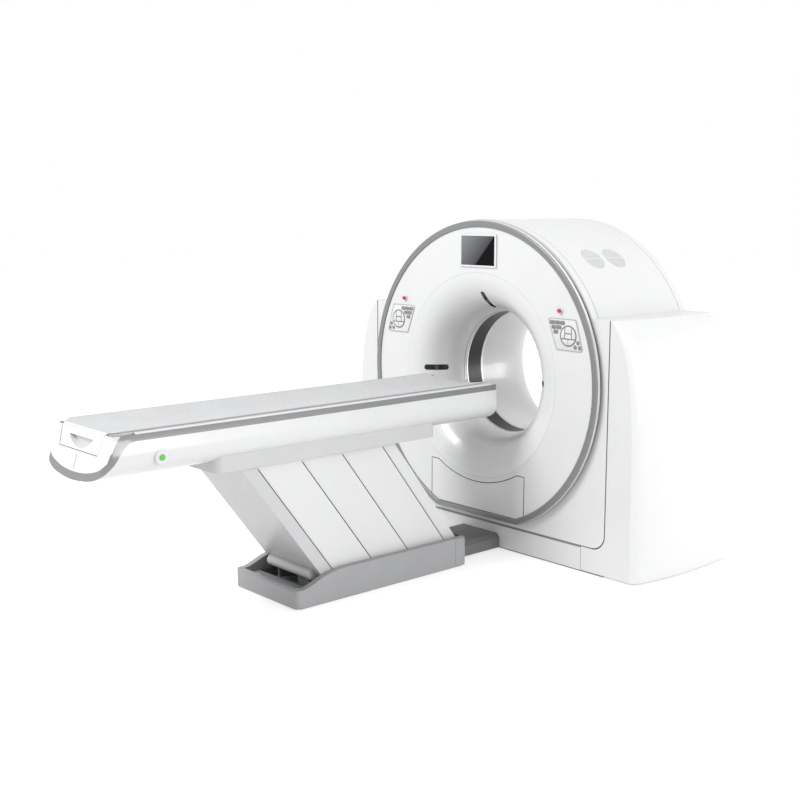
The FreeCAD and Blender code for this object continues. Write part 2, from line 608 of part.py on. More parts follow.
def rotor_drive():
    y0, y1 = PLATE_Y[0] + 8, PLATE_Y[1] - 8
    save("rotor_belt", belt_outline(5 + SEAT, y0, y1).cut(belt_outline(SEAT, y0 - 1, y1 + 1)))
    mx, mz = MOTOR_AT
    front, back = MOTOR_Y
    shaft = rod((mx, y1 + 4, mz), (mx, front + 10, mz), MOTOR_SHAFT)
    save("motor_pulley", rod((mx, y0 - 4, mz), (mx, y1 + 4, mz), PULLEY_R).fuse(shaft))
    motor = rod((mx, front, mz), (mx, back, mz), MOTOR_R)
    motor = motor.cut(rod((mx, front - 1, mz), (mx, front + 25, mz), MOTOR_SHAFT + RUNNING))
    foot_y = (front + 20, back - 20)
    motor = motor.fuse(box(mx - 50, mx + 50, *foot_y, SOLE, mz - MOTOR_R + 25))
    save("rotor_motor", motor.removeSplitter())


# ---- couch ----
def spline_wire(points, closing):
    """A smooth edge through the points, closed by straight edges through the closing points."""
    curve = Part.BSplineCurve()
    curve.interpolate([V(*p) for p in points])
    corners = [points[-1]] + list(closing) + [points[0]]
    lines = [Part.makeLine(V(*a), V(*b)) for a, b in zip(corners, corners[1:])]
    return Part.Wire([curve.toShape()] + lines)


def end_plan(tip, far, away):
    """A flat end with rounded corners, seen from above: away is 1 at the foot and -1 at the head."""
    wide, low = COUCH_HALF + 30, 700
    across, along = END_CORNER
    flat = wide - across - 10
    back = tip + away * along
    turn = (flat + (wide - flat) * sin(radians(45)), tip + away * along * (1 - cos(radians(45))))
    corners = [V(wide, back, low), V(wide, far, low), V(-wide, far, low), V(-wide, back, low)]
    lines = [Part.makeLine(a, b) for a, b in zip(corners, corners[1:])]
    left = Part.Arc(corners[3], V(-turn[0], turn[1], low), V(-flat, tip, low)).toShape()
    right = Part.Arc(V(flat, tip, low), V(turn[0], turn[1], low), corners[0]).toShape()
    return Part.Face(Part.Wire(lines + [left, Part.makeLine(V(-flat, tip, low), V(flat, tip, low)), right]))


def hull_block(inset):
    """The couch body's outside: an oval underside carried along, a leaning foot end and an upright head end."""
    i, tall = inset, 320
    right = [(COUCH_HALF - i, BODY_TOP), (COUCH_HALF + 2 - i, STRIPE_LOW), (COUCH_HALF + 17 - i, 905),
             (COUCH_HALF + 5 - i, 852), (COUCH_HALF - 32 - i / 2, 815 + i), (125, 785 + i), (0, BODY_LOW + i)]
    section = right + [(-x, z) for x, z in right[-2::-1]]
    points = [(x, BODY_FRONT - 50, z) for x, z in section]
    block = Part.Face(spline_wire(points, [])).extrude(V(0, BODY_BACK - BODY_FRONT + 100, 0))
    foot = end_plan(BODY_FRONT - 36 + inset, BODY_BACK + 150, 1).extrude(V(0, FOOT_LEAN * tall, tall))
    head = end_plan(BODY_BACK - inset, BODY_FRONT - 150, -1).extrude(V(0, 0, tall))
    return block.common(foot).common(head)


def foot_region(line, far):
    """The region beside a band edge, as a prism across the couch. The edge is measured from the foot end."""
    wide = COUCH_HALF + 60
    return prism([(-wide, BODY_FRONT + y, z) for y, z in line + far], (2 * wide, 0, 0))


def cap_region():
    """The room of the white end cap: in front of the band's upper edge and inside the cap's oval lower edge."""
    ahead = foot_region(BAND_UPPER, ((-140, 760), (-140, 1100), (117, 1100)))
    left = [(-x, z) for x, z in CAP_EDGE[:0:-1]]
    y = BODY_FRONT - 150
    path = [(x, y, z) for x, z in left + list(CAP_EDGE)]
    half = CAP_EDGE[-1][0]
    oval = Part.Face(spline_wire(path, [(half, y, 1100), (-half, y, 1100)]))
    return ahead.common(oval.extrude(V(0, 400, 0)))


def couch_shell():
    skin = hull_block(0).cut(hull_block(BODY_WALL))
    opening = CRADLE_HALF + 4.5
    skin = skin.cut(box(-opening, opening, BODY_FRONT + 222, 0, SHOULDER - 8, BODY_TOP + 30))
    beyond = cap_region()
    below = foot_region(BAND_LOWER, ((-8, 700), (-BODY_FRONT, 700), (-BODY_FRONT, STRIPE_LOW)))
    cap = skin.common(beyond)
    body = skin.common(below)
    band = skin.cut(beyond).cut(below)
    body = body.cut(box(-COLUMN_CLEAR, COLUMN_CLEAR, *WELL_Y, BODY_LOW - 10, 860))
    body = body.cut(Part.makeCylinder(BUTTON_R + 1, 80, V(COUCH_HALF + 30, BUTTON_Y, BUTTON_Z), V(-1, 0, 0)))
    save("couch_body", body)
    save("couch_band", band)
    save("end_cap", cap.cut(notch_block(3)))


def notch_block(gap):
    """The room for the cradle's tail in the end cap."""
    low, top = TAIL_LOW - gap, 1040
    a = TAIL_HALF + gap
    b = a + TAIL_FLARE * (top - low)
    y = BODY_FRONT - 138
    return prism([(-a, y, low), (a, y, low), (b, y, top), (-b, y, top)], (0, 400, 0))


def green_button():
    x = COUCH_HALF + 16.0
    bore, outer = BUTTON_R + SEAT, 34.0
    bezel = tube((x - 12, BUTTON_Y, BUTTON_Z), (x + 9, BUTTON_Y, BUTTON_Z), bore, outer)
    face = V(x + 9, BUTTON_Y, BUTTON_Z)
    bezel = bezel.makeChamfer(5, edges_where(bezel, lambda p: all(abs(q.x - face.x) < 0.1 for q in p)
                                             and abs((p[0] - face).Length - outer) < 1))
    bezel = bezel.cut(hull_block(-SEAT))
    bezel = bezel.fuse(tube((x - 32, BUTTON_Y, BUTTON_Z), (x + 5, BUTTON_Y, BUTTON_Z), bore, bore + 0.5))
    button = rod((x - 14, BUTTON_Y, BUTTON_Z), (x + 13, BUTTON_Y, BUTTON_Z), BUTTON_R)
    button = button.makeFillet(2, edges_where(button, lambda p: abs(p[0].x - x - 13) < 0.1))
    save("green_button_bezel", bezel)
    save("green_button", button)


def under_cradle(gap):
    """The cradle's own room, with its rounded underside lowered by a gap."""
    return dish(CRADLE_EDGE + 30, HOLLOW, CRADLE_EDGE - CRADLE_SKIN - gap, BELLY, CRADLE_HALF, *CRADLE_Y)


def couch_channel():
    half, floor, edge, lip = CHANNEL_HALF, CHANNEL_FLOOR, CRADLE_HALF + 4, COUCH_HALF - 6
    start, end = BODY_FRONT + 172, BODY_BACK - 43
    high, rest = BODY_TOP + 7, BODY_TOP + SEAT
    right = [(half, floor), (half, SHOULDER - WALL), (edge, SHOULDER), (edge, high), (COUCH_HALF, high),
             (COUCH_HALF, rest), (lip, rest), (lip, SHOULDER - 8), (half + WALL, SHOULDER - 12),
             (half + WALL, floor - WALL)]
    points = right + [(-x, z) for x, z in right[::-1]]
    liner = prism([(x, start, z) for x, z in points], (0, end - start, 0))
    block = box(*GLIDE_X, BODY_BACK - 253, BODY_BACK - 93, SHOULDER - 3, CRADLE_EDGE).cut(under_cradle(SEAT))
    for glide in both(block):
        liner = liner.fuse(glide)
    save("cradle_channel", liner.removeSplitter())
    save("linear_drive", box(-45, 45, BODY_FRONT + 202, BODY_BACK - 70, floor, floor + DRIVE_TALL))


def dish(top, top_rise, low, low_rise, half, y0, y1):
    """A dished board: a shallow arc on top and a deeper one below."""
    upper = Part.Arc(V(-half, y0, top), V(0, y0, top - top_rise), V(half, y0, top)).toShape()
    lower = Part.Arc(V(-half, y0, low), V(0, y0, low - low_rise), V(half, y0, low)).toShape()
    sides = [Part.makeLine(V(s * half, y0, top), V(s * half, y0, low)) for s in (-1, 1)]
    wire = Part.Wire(Part.__sortEdges__([upper, lower] + sides))
    return Part.Face(wire).extrude(V(0, y1 - y0, 0))


def round_ends(board, y, radius):
    """Round the two upright corners of a board's end."""
    return board.makeFillet(radius, edges_where(board, lambda p: abs(p[0].z - p[1].z) > 5
                                                and all(abs(q.y - y) < 0.1 for q in p)))


def tail_handle():
    """The cradle's foot panel with the finger recess."""
    half, high = TAIL_HALF, CRADLE_EDGE - 2
    top = half + TAIL_FLARE * (high - TAIL_LOW)
    start = BODY_FRONT - 38
    corners = [(-half, TAIL_LOW), (half, TAIL_LOW), (top, high), (-top, high)]
    tail = prism([(x, start, z) for x, z in corners], (0, 140, 0))
    above = box(-COUCH_HALF, COUCH_HALF, BODY_FRONT + 63, BODY_FRONT + 162, BODY_TOP - 1, BODY_TOP + 20)
    tail = tail.common(hull_block(1).fuse(above))
    inside = box(-half + 12, half - 12, RECESS_Y + 5, BODY_FRONT + 162, TAIL_LOW - 5, SHOULDER + 2)
    tail = tail.cut(inside).cut(under_cradle(0))
    low, high = RECESS_Z
    scoop = rod((0, start, low + RECESS_R), (0, RECESS_Y, low + RECESS_R), RECESS_R)
    return tail.cut(scoop.common(box(-RECESS_R, RECESS_R, start, RECESS_Y, low - 1, high)))


def cradle():
    y0, y1 = CRADLE_Y
    board = dish(CRADLE_EDGE, HOLLOW, CRADLE_EDGE - CRADLE_SKIN, BELLY, CRADLE_HALF, y0, y1)
    board = round_ends(board, y0, 45)
    save("cradle", round_ends(board, y1, 30))
    start, end = y0 + 8, y1 - 6
    pad = dish(CRADLE_EDGE + PAD_THICK, HOLLOW, CRADLE_EDGE + SEAT, HOLLOW, CRADLE_HALF - 3, start, end)
    save("cradle_pad", round_ends(pad, start, 42))
    runner = box(*RUNNER_X, BODY_FRONT + 182, BODY_FRONT + 782, SHOULDER + SEAT, CRADLE_EDGE)
    slider_low = CHANNEL_FLOOR + DRIVE_TALL + SEAT
    slider = box(-40, 40, BODY_FRONT + 212, BODY_FRONT + 302, slider_low, CRADLE_EDGE - 20)
    under = under_cradle(0)
    save("cradle_runners", slider.cut(under), *both(runner.cut(under)))
    save("tail_handle", tail_handle())


def fused(shapes):
    whole = shapes[0]
    for shape in shapes[1:]:
        whole = whole.fuse(shape)
    return whole.removeSplitter()


def table_frame():
    (x0, x1), (low, high) = TABLE_RAIL, RAIL_Z
    start, end, wall, ties, tie_wide = BODY_FRONT + 142, BODY_BACK - 93, 6, 6, 50
    rail = box(x0, x1, start, end, low, high)
    rail = rail.cut(box(x0 + wall, x1 - wall, start - 1, end + 1, low + wall, high - wall))
    pieces = both(rail)
    for i in range(ties):
        y = start + 20 + (end - start - 40 - tie_wide) * i / (ties - 1)
        pieces.append(box(-x0 - 2, x0 + 2, y, y + tie_wide, low + 10, CHANNEL_FLOOR - WALL))
    for offset in (FRONT_PIVOT, *SLAT_PIVOTS, REAR_PIVOT):
        y = pivot_y(offset, PIVOT_HIGH)
        lug = box(LUG[0], LUG[1], y - LUG_HALF, y + LUG_HALF, PIVOT_HIGH, low + 5)
        lug = lug.fuse(rod((LUG[0], y, PIVOT_HIGH), (LUG[1], y, PIVOT_HIGH), LUG_HALF))
        pieces += both(lug)
    for offset in (FRONT_PIVOT, REAR_PIVOT):
        y = pivot_y(offset, PIVOT_HIGH)
        pieces += both(rod((ARM[0] - 4, y, PIVOT_HIGH), (LUG[1] - 1, y, PIVOT_HIGH), PIN_R * 2))
    for i, offset in enumerate(SLAT_PIVOTS):
        y = pivot_y(offset, PIVOT_HIGH)
        pieces += both(rod((LUG[0] + 1, y, PIVOT_HIGH), (slat_x(i) + SHEET, y, PIVOT_HIGH), PIN_R))
    save("table_frame", fused(pieces))
    save("saddle_cover", saddle())


def saddle():
    """A box under the couch body that hides the top of the column."""
    half, high = SADDLE_HALF, BODY_LOW + 64
    block = box(-half, half, *SADDLE, SADDLE_LOW, high)
    block = block.makeFillet(SADDLE_CORNER, edges_where(block, lambda p: abs(p[0].z - p[1].z) > 5))
    inside = box(-half + WALL, half - WALL, SADDLE[0] + WALL, SADDLE[1] - WALL, SADDLE_LOW + WALL, high + 1)
    inside = inside.makeFillet(SADDLE_CORNER - WALL, edges_where(inside, lambda p: abs(p[0].z - p[1].z) > 5))
    block = block.cut(inside)
    block = block.cut(box(-COLUMN_CLEAR, COLUMN_CLEAR, *WELL_Y, SADDLE_LOW - 1, SADDLE_LOW + WALL + 1))
    return block.cut(hull_block(-SEAT))


# ---- lift column ----
def pivot_y(offset, z):
    return COLUMN_FRONT + offset - LEAN * (z - PIVOT_LOW)


def slat_x(i):
    return SLAT_X - SLAT_PITCH * i


def leaning_plate(start, end, low, high, x0, x1):
    """An upright plate with leaning front and rear edges, between two offsets from the column front."""
    corners = [(x0, pivot_y(start, low), low), (x0, pivot_y(end, low), low), (x0, pivot_y(end, high), high),
               (x0, pivot_y(start, high), high)]
    return prism(corners, (x1 - x0, 0, 0))


def arm(offset, x0, x1, pin_high):
    """A flat link from a lower pivot to an upper one."""
    y0, y1 = pivot_y(offset, PIVOT_LOW), pivot_y(offset, PIVOT_HIGH)
    wide = ARM_WIDE / LINK_SINE / 2
    link = leaning_plate(offset - wide, offset + wide, PIVOT_LOW, PIVOT_HIGH, x0, x1)
    for y, z in ((y0, PIVOT_LOW), (y1, PIVOT_HIGH)):
        link = link.fuse(rod((x0, y, z), (x1, y, z), ARM_WIDE / 2))
    return link.cut(rod((x0 - 1, y1, PIVOT_HIGH), (x1 + 1, y1, PIVOT_HIGH), pin_high))


def link_arms():
    """The two load-carrying links: a pair of arms each, tied by a box and pressed on a shaft."""
    brace = ARM_WIDE / 2 / LINK_SINE - 4
    for name, offset, clear in (("front", FRONT_PIVOT, RUNNING), ("rear", REAR_PIVOT, SEAT)):
        arms = both(arm(offset, ARM[0], ARM[1], PIN_R * 2 + clear))
        tie = leaning_plate(offset - brace, offset + brace, 300, 620, -ARM[0], ARM[0])
        room = brace - 8
        tie = tie.cut(leaning_plate(offset - room, offset + room, 280, 640, -ARM[0] + 8, ARM[0] - 8))
        y = pivot_y(offset, PIVOT_LOW)
        shaft = rod((-LUG[1] - 4, y, PIVOT_LOW), (LUG[1] + 4, y, PIVOT_LOW), SHAFT_R)
        save(f"{name}_arms", fused(arms + [tie, shaft]))


def column_covers():
    """Folded covers in front of the front link and behind the rear one."""
    thick = SHEET / LINK_SINE
    arm_reach = ARM_WIDE / LINK_SINE / 2
    outer_x = SLAT_X + SLAT_PITCH
    plate = leaning_plate(0, thick, COVER_BOTTOM, COVER_TOP, -outer_x - SHEET, outer_x + SHEET)
    flange = leaning_plate(0, FRONT_FLANGE, COVER_BOTTOM, COVER_TOP, outer_x, outer_x + SHEET)
    rib = leaning_plate(thick, FRONT_PIVOT - arm_reach - SEAT, *RIB_Z, *ARM)
    bridge = leaning_plate(0.5, thick + 2, *RIB_Z, -ARM[1], ARM[1])
    roll_y = COLUMN_FRONT - 20
    roll = rod((-180, roll_y, PIVOT_LOW), (180, roll_y, PIVOT_LOW), ROLL_R)
    roll = roll.cut(leaning_plate(2, 120, 0, 300, -200, 200))
    save("column_front_cover", fused([plate, *both(flange), bridge, *both(rib), roll]))
    inner_x = slat_x(3)
    start, end = REAR_FLANGE
    back = leaning_plate(end - thick, end, REAR_BOTTOM, COVER_TOP, -inner_x - SHEET, inner_x + SHEET)
    side = leaning_plate(start, end, REAR_BOTTOM, COVER_TOP, inner_x, inner_x + SHEET)
    rib = leaning_plate(REAR_PIVOT + arm_reach + SEAT, end - thick, *RIB_Z, *ARM)
    save("column_rear_cover", fused([back, *both(side), *both(rib)]))


def side_slats():
    """Three overlapping slats on each side, hung between their own pivots."""
    for i, (offset, (start, end)) in enumerate(zip(SLAT_PIVOTS, SLAT_EDGES)):
        x = slat_x(i)
        slat = leaning_plate(start, end, SLAT_LOW, COVER_TOP, x, x + SHEET)
        high_y = pivot_y(offset, PIVOT_HIGH)
        slat = slat.fuse(leaning_plate(offset - 16, offset + 16, COVER_TOP - 20, PIVOT_HIGH, x, x + SHEET))
        slat = slat.fuse(rod((x, high_y, PIVOT_HIGH), (x + SHEET, high_y, PIVOT_HIGH), PIN_R + 7))
        for z, clear in ((PIVOT_LOW, RUNNING), (PIVOT_HIGH, SEAT)):
            y = pivot_y(offset, z)
            slat = slat.cut(rod((x - 1, y, z), (x + SHEET + 1, y, z), PIN_R + clear))
        save(f"side_slats_{i + 1}", *both(slat))


# ---- couch base ----
def lower_lug(offset, hole):
    y = pivot_y(offset, PIVOT_LOW)
    lug = box(LUG[0], LUG[1], y - LUG_HALF, y + LUG_HALF, BASE_PLATE, PIVOT_LOW)
    lug = lug.fuse(rod((LUG[0], y, PIVOT_LOW), (LUG[1], y, PIVOT_LOW), LUG_HALF + 2))
    return lug.cut(rod((LUG[0] - 1, y, PIVOT_LOW), (LUG[1] + 1, y, PIVOT_LOW), hole))


def base_profile(drop):
    """Side view of the base cover: a low front rim that rises to the deck beside the column."""
    rise = [(BASE_FRONT + y + (drop if y <= 10 else 0), z - drop) for y, z in BASE_RISE]
    return [(BASE_FRONT + drop, BASE_GAP), *rise, (BASE_SEAM, BASE_TOP - drop), (BASE_SEAM, BASE_GAP)]


def upright_at(y):
    """A test for upright edges at a place along the couch."""
    return lambda p: all(abs(q.y - y) < 0.1 for q in p) and abs(p[0].z - p[1].z) > 5


def base_cover():
    rim = BASE_FRONT + 30
    cover = prism([(-BASE_HALF, y, z) for y, z in base_profile(0)], (2 * BASE_HALF, 0, 0))
    cover = cover.makeFillet(28, edges_where(cover, upright_at(BASE_FRONT)))
    well = box(-BASE_INNER, BASE_INNER, rim + 2, BASE_SEAM + 1, 70, 300)
    inside = box(-BASE_HALF + BASE_WALL, BASE_HALF - BASE_WALL, rim, BASE_SEAM + 1, 0, 65)
    open_floor = box(-BASE_INNER, BASE_INNER, BASE_FRONT + 125, BASE_SEAM + 1, 0, 300)
    hollow = prism([(BASE_INNER + WALL, max(y, rim), z) for y, z in base_profile(BASE_WALL)], (26, 0, 0))
    hollow = hollow.common(box(0, BASE_HALF, rim, BASE_SEAM + 1, 0, BASE_TOP))
    for room in (well, inside, open_floor, *both(hollow)):
        cover = cover.cut(room)
    return cover


def base_end():
    end = box(-BASE_HALF, BASE_HALF, BASE_SEAM + 2, BASE_BACK, BASE_GAP, BASE_TOP)
    end = end.makeFillet(34, edges_where(end, upright_at(BASE_BACK)))
    end = end.makeFillet(14, edges_where(end, lambda p: all(abs(q.z - BASE_TOP) < 0.1
                                                            and q.y > BASE_SEAM + 3 for q in p)))
    end = end.cut(box(-BASE_INNER, BASE_INNER, BASE_SEAM, BASE_BACK - 8, 0, 300))
    end = end.cut(box(-BASE_HALF + BASE_WALL, BASE_HALF - BASE_WALL, BASE_SEAM, BASE_BACK - 40, 0, 65))
    hollow = box(BASE_INNER + WALL, BASE_HALF - BASE_WALL, BASE_SEAM, BASE_BACK - 40, 0, BASE_TOP - BASE_WALL)
    for room in both(hollow):
        end = end.cut(room)
    return end


def base_plate():
    half, inner = BASE_HALF - BASE_WALL - SEAT, BASE_INNER - SEAT
    pieces = [box(-half, half, BASE_FRONT + 30 + SEAT, BASE_BACK - 42, 0, BASE_PLATE)]
    pieces.append(box(-inner, inner, BASE_BACK - 60, BASE_BACK - 8 - SEAT, 0, BASE_PLATE))
    for offset in (FRONT_PIVOT, REAR_PIVOT):
        pieces += both(lower_lug(offset, SHAFT_R + RUNNING))
    for i, offset in enumerate(SLAT_PIVOTS):
        y = pivot_y(offset, PIVOT_LOW)
        pieces += both(lower_lug(offset, PIN_R))
        pieces += both(rod((LUG[0] + 1, y, PIVOT_LOW), (slat_x(i) + SHEET, y, PIVOT_LOW), PIN_R))
    plate = fused(pieces)
    for x in (-COUCH_ANCHOR_X, COUCH_ANCHOR_X):
        for y in COUCH_ANCHOR_Y:
            plate = plate.cut(rod((x, y, -1), (x, y, BASE_PLATE + 1), ANCHOR_R))
    return plate


def lift_gearmotor():
    """The geared motor that turns the front link's shaft."""
    y, half, motor_z = pivot_y(FRONT_PIVOT, PIVOT_LOW), 50, 80
    gearbox = rod((-half, y, PIVOT_LOW), (half, y, PIVOT_LOW), GEARBOX_R)
    gearbox = gearbox.fuse(box(-half, half, y - 5, y + 110, BASE_PLATE, PIVOT_LOW))
    gearbox = gearbox.fuse(rod((0, y + 110, motor_z), (0, y + 300, motor_z), 45))
    bore = rod((-half - 1, y, PIVOT_LOW), (half + 1, y, PIVOT_LOW), SHAFT_R + SEAT)
    return gearbox.cut(bore).removeSplitter()


def duct_section(inset, low):
    half, edge, top = BRIDGE_HALF - inset, BRIDGE_EDGE - inset / 2, BRIDGE_TOP - inset
    slope = BRIDGE_TOP - BRIDGE_EDGE - 2
    return [(-half, low), (half, low), (half, edge), (half - slope, top), (slope - half, top), (-half, edge)]


def bridge_duct():
    """The cable duct on the floor between the couch base and the gantry."""
    start, end = BASE_BACK + SEAT, COVER_Y - SEAT
    duct = prism([(x, start, z) for x, z in duct_section(0, BASE_GAP)], (0, end - start, 0))
    return duct.cut(prism([(x, start - 5, z) for x, z in duct_section(WALL, 0)], (0, end - start + 10, 0)))


def couch_base():
    save("base_cover", base_cover())
    save("base_end", base_end())
    save("base_plate", base_plate())
    save("lift_gearmotor", lift_gearmotor())
    save("bridge_duct", bridge_duct())


def build():
    os.makedirs("parts", exist_ok=True)
    gantry_face()
    bore_lining()
    gantry_shells()
    gantry_controls()
    gantry_frame()
    races()
    rotor()
    rotor_drive()
    couch_shell()
    green_button()
    couch_channel()
    cradle()
    table_frame()
    link_arms()
    column_covers()
    side_slats()
    couch_base()


build()
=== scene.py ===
# %% [markdown]
# # A computed tomography scanner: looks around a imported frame
# The frame is the scanner's engineering model: every cover, bearing and link is already at its real size
# and place, in metres, with the floor at z = 0, the scan plane at y = 0 and the couch reaching towards
# -y. This file gives each of those parts its finish, adds the small parts that only matter to the eye,
# and lights it all on a pale floor.

# %% Load the frame
from math import acos, atan2, cos, degrees, exp, pi, radians, sin, sqrt, tan

import bmesh
import bpy
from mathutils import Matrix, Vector
from mathutils.bvhtree import BVHTree


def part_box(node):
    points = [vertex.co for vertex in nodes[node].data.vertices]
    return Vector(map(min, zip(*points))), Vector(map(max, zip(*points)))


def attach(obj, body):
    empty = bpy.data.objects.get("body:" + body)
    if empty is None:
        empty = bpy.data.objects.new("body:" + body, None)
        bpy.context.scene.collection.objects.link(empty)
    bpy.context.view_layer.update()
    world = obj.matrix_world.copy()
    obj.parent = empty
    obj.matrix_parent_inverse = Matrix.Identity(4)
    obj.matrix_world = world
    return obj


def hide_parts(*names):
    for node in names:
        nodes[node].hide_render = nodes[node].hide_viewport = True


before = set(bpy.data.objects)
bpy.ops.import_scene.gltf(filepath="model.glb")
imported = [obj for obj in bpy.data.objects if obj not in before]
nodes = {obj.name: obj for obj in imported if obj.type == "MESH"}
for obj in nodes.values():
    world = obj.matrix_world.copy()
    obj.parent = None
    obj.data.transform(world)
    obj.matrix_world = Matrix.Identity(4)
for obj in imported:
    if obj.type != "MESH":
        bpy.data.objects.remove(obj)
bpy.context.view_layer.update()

# %% [markdown]
# ## How a finish is put together
# A real painted or moulded surface is never one colour. Its tone drifts a little over a hand's width, its
# gloss changes from place to place, and up close it has grain: orange peel in paint, spark texture in a
# moulding, brushing in steel. Image textures could carry that, but procedural noise has no seams and no
# resolution limit, so each finish is built from noise in the part's own coordinates, which stay with the
# part when it moves.

# %% Small tools for shader trees
def shader(name):
    """A new material, its node tree and its main shader."""
    made = bpy.data.materials.new(name)
    made.use_nodes = True
    tree = made.node_tree
    return made, tree, tree.nodes["Principled BSDF"]


def add(tree, kind, **values):
    """A node with some of its sockets or settings given by name."""
    node = tree.nodes.new(kind)
    for key, value in values.items():
        if key in node.inputs:
            node.inputs[key].default_value = value
        else:
            setattr(node, key, value)
    return node


def own_coordinates(tree, stretch=(1, 1, 1)):
    """The part's own coordinates in metres, stretched along each axis."""
    place = add(tree, "ShaderNodeTexCoord")
    scale = add(tree, "ShaderNodeMapping")
    scale.inputs["Scale"].default_value = stretch
    tree.links.new(place.outputs["Object"], scale.inputs["Vector"])
    return scale.outputs["Vector"]


def noise(tree, where, scale, detail=3.0):
    """Cloudy noise from 0 to 1; scale is in features per metre."""
    node = add(tree, "ShaderNodeTexNoise", Scale=scale, Detail=detail)
    tree.links.new(where, node.inputs["Vector"])
    return node.outputs["Fac"]


def between(tree, factor, low, high):
    """A number that runs from low to high as the factor runs over the middle of its range."""
    node = add(tree, "ShaderNodeMapRange")
    for socket, value in zip(("From Min", "From Max", "To Min", "To Max"), (0.3, 0.7, low, high)):
        node.inputs[socket].default_value = value
    tree.links.new(factor, node.inputs["Value"])
    return node.outputs["Result"]


def tones(tree, factor, dark, light, start=0.3, end=0.7):
    """A colour between two tones, by a factor."""
    node = add(tree, "ShaderNodeValToRGB")
    first, last = node.color_ramp.elements
    first.position, first.color = start, (*dark, 1)
    last.position, last.color = end, (*light, 1)
    tree.links.new(factor, node.inputs["Fac"])
    return node.outputs["Color"]


def relief(tree, height, depth, under=None):
    """Raise the surface by a height field; depth is in metres. One relief can lie over another."""
    node = add(tree, "ShaderNodeBump", Strength=1.0, Distance=depth)
    tree.links.new(height, node.inputs["Height"])
    if under is not None:
        tree.links.new(under, node.inputs["Normal"])
    return node.outputs["Normal"]


# %% [markdown]
# ## Paints and mouldings
# One recipe covers most of the scanner: a tone that drifts in soft clouds, a gloss that drifts with other
# clouds, a long gentle waviness like that of a large moulded cover, and a fine grain on top. What changes
# from one finish to the next is the numbers. The thin clear coat gives the covers their clean double
# highlight.

# %% The general recipe
def moulded(name, tone, drift, gloss, grain, depth, wave=0.0, coat=0.0, metal=0.0, stretch=(1, 1, 1)):
    """A finish: its tone and drift, its roughness range, and its grain, per metre and in depth."""
    made, tree, main = shader(name)
    where = own_coordinates(tree, stretch)
    dark = [c * (1 - drift) for c in tone]
    light = [min(1, c * (1 + drift)) for c in tone]
    clouds = noise(tree, where, 7.0, 5.0)
    tree.links.new(tones(tree, clouds, dark, light), main.inputs["Base Color"])
    tree.links.new(between(tree, noise(tree, where, 31.0), *gloss), main.inputs["Roughness"])
    surface = relief(tree, noise(tree, where, grain, 2.0), depth)
    if wave:
        surface = relief(tree, noise(tree, where, 4.0, 0.0), wave, surface)
    tree.links.new(surface, main.inputs["Normal"])
    main.inputs["Metallic"].default_value = metal
    main.inputs["Coat Weight"].default_value = coat
    main.inputs["Coat Roughness"].default_value = 0.12
    return made


recipes = {
    "white_shell": ((0.505, 0.507, 0.511), 0.010, (0.30, 0.40), 900, 0.00003, 0.0012, 0.3),
    "grey_trim": ((0.165, 0.167, 0.171), 0.03, (0.30, 0.42), 1500, 0.00003, 0.0, 0.3, 0.25),
    "black_rubber": ((0.018, 0.018, 0.019), 0.25, (0.55, 0.75), 700, 0.0001),
    "dark_band": ((0.020, 0.020, 0.022), 0.05, (0.30, 0.34), 2400, 0.00001),
    "red_plastic": ((0.42, 0.004, 0.012), 0.08, (0.25, 0.35), 1400, 0.00003, 0.0, 0.5),
    "key_grey": ((0.16, 0.16, 0.165), 0.04, (0.45, 0.55), 2500, 0.00004),
    "frame_steel": ((0.16, 0.165, 0.17), 0.08, (0.40, 0.55), 1100, 0.00006, 0.0, 0.2),
    "cast_aluminium": ((0.56, 0.57, 0.58), 0.07, (0.38, 0.55), 420, 0.00018, 0.0, 0.0, 0.9),
    "column_grey": ((0.40, 0.402, 0.407), 0.02, (0.35, 0.48), 1000, 0.00003, 0.0006, 0.15),
    # The duct's grey is darker than the base grey as painted shade for the gantry's shadow over it.
    "duct_painted_shade_grey": ((0.11, 0.11, 0.113), 0.04, (0.38, 0.5), 1300, 0.00005),
    "base_grey": ((0.25, 0.252, 0.257), 0.035, (0.34, 0.48), 1300, 0.00005, 0.0004, 0.15, 0.15),
}
finishes = {name: moulded(name, *recipe) for name, recipe in recipes.items()}
finishes["dark_band"].node_tree.nodes["Principled BSDF"].inputs["Specular IOR Level"].default_value = 0.2
print("finishes so far:", ", ".join(finishes))

# %% [markdown]
# ## Turned steel
# Bearing rings are turned and ground, so their brushing runs round the axis. Stretching the noise
# strongly along one direction makes it read as fine parallel scratches, and a metallic shader with a
# broken gloss does the rest.

# %% Ground bearing steel
finishes["bearing_steel"] = moulded(
    "bearing_steel", (0.58, 0.58, 0.59), 0.05, (0.18, 0.34), 260, 0.00004, metal=1.0, stretch=(1, 9, 1)
)
print("with turned steel:", len(finishes), "finishes")

# %% [markdown]
# ## Glass with a painted reflection, and plastic with a painted glow
# The laser windows and the display are smoked glass: almost black, very smooth, with a faint grey haze.
# The display is switched off, and a slanted reflection of the room, painted into its colour, divides it
# into a lighter corner and a black one. The green button is given a faint painted glow, brightest at its
# centre.

# %% Smoked glass, display and green lens
def smoked_glass():
    made, tree, main = shader("dark_glass")
    where = own_coordinates(tree)
    tree.links.new(tones(tree, noise(tree, where, 12.0), (0.008, 0.008, 0.009), (0.02, 0.02, 0.022)),
                   main.inputs["Base Color"])
    tree.links.new(between(tree, noise(tree, where, 60.0), 0.03, 0.09), main.inputs["Roughness"])
    main.inputs["Coat Weight"].default_value = 0.1
    main.inputs["Coat Roughness"].default_value = 0.03
    main.inputs["Specular IOR Level"].default_value = 0.15
    return made


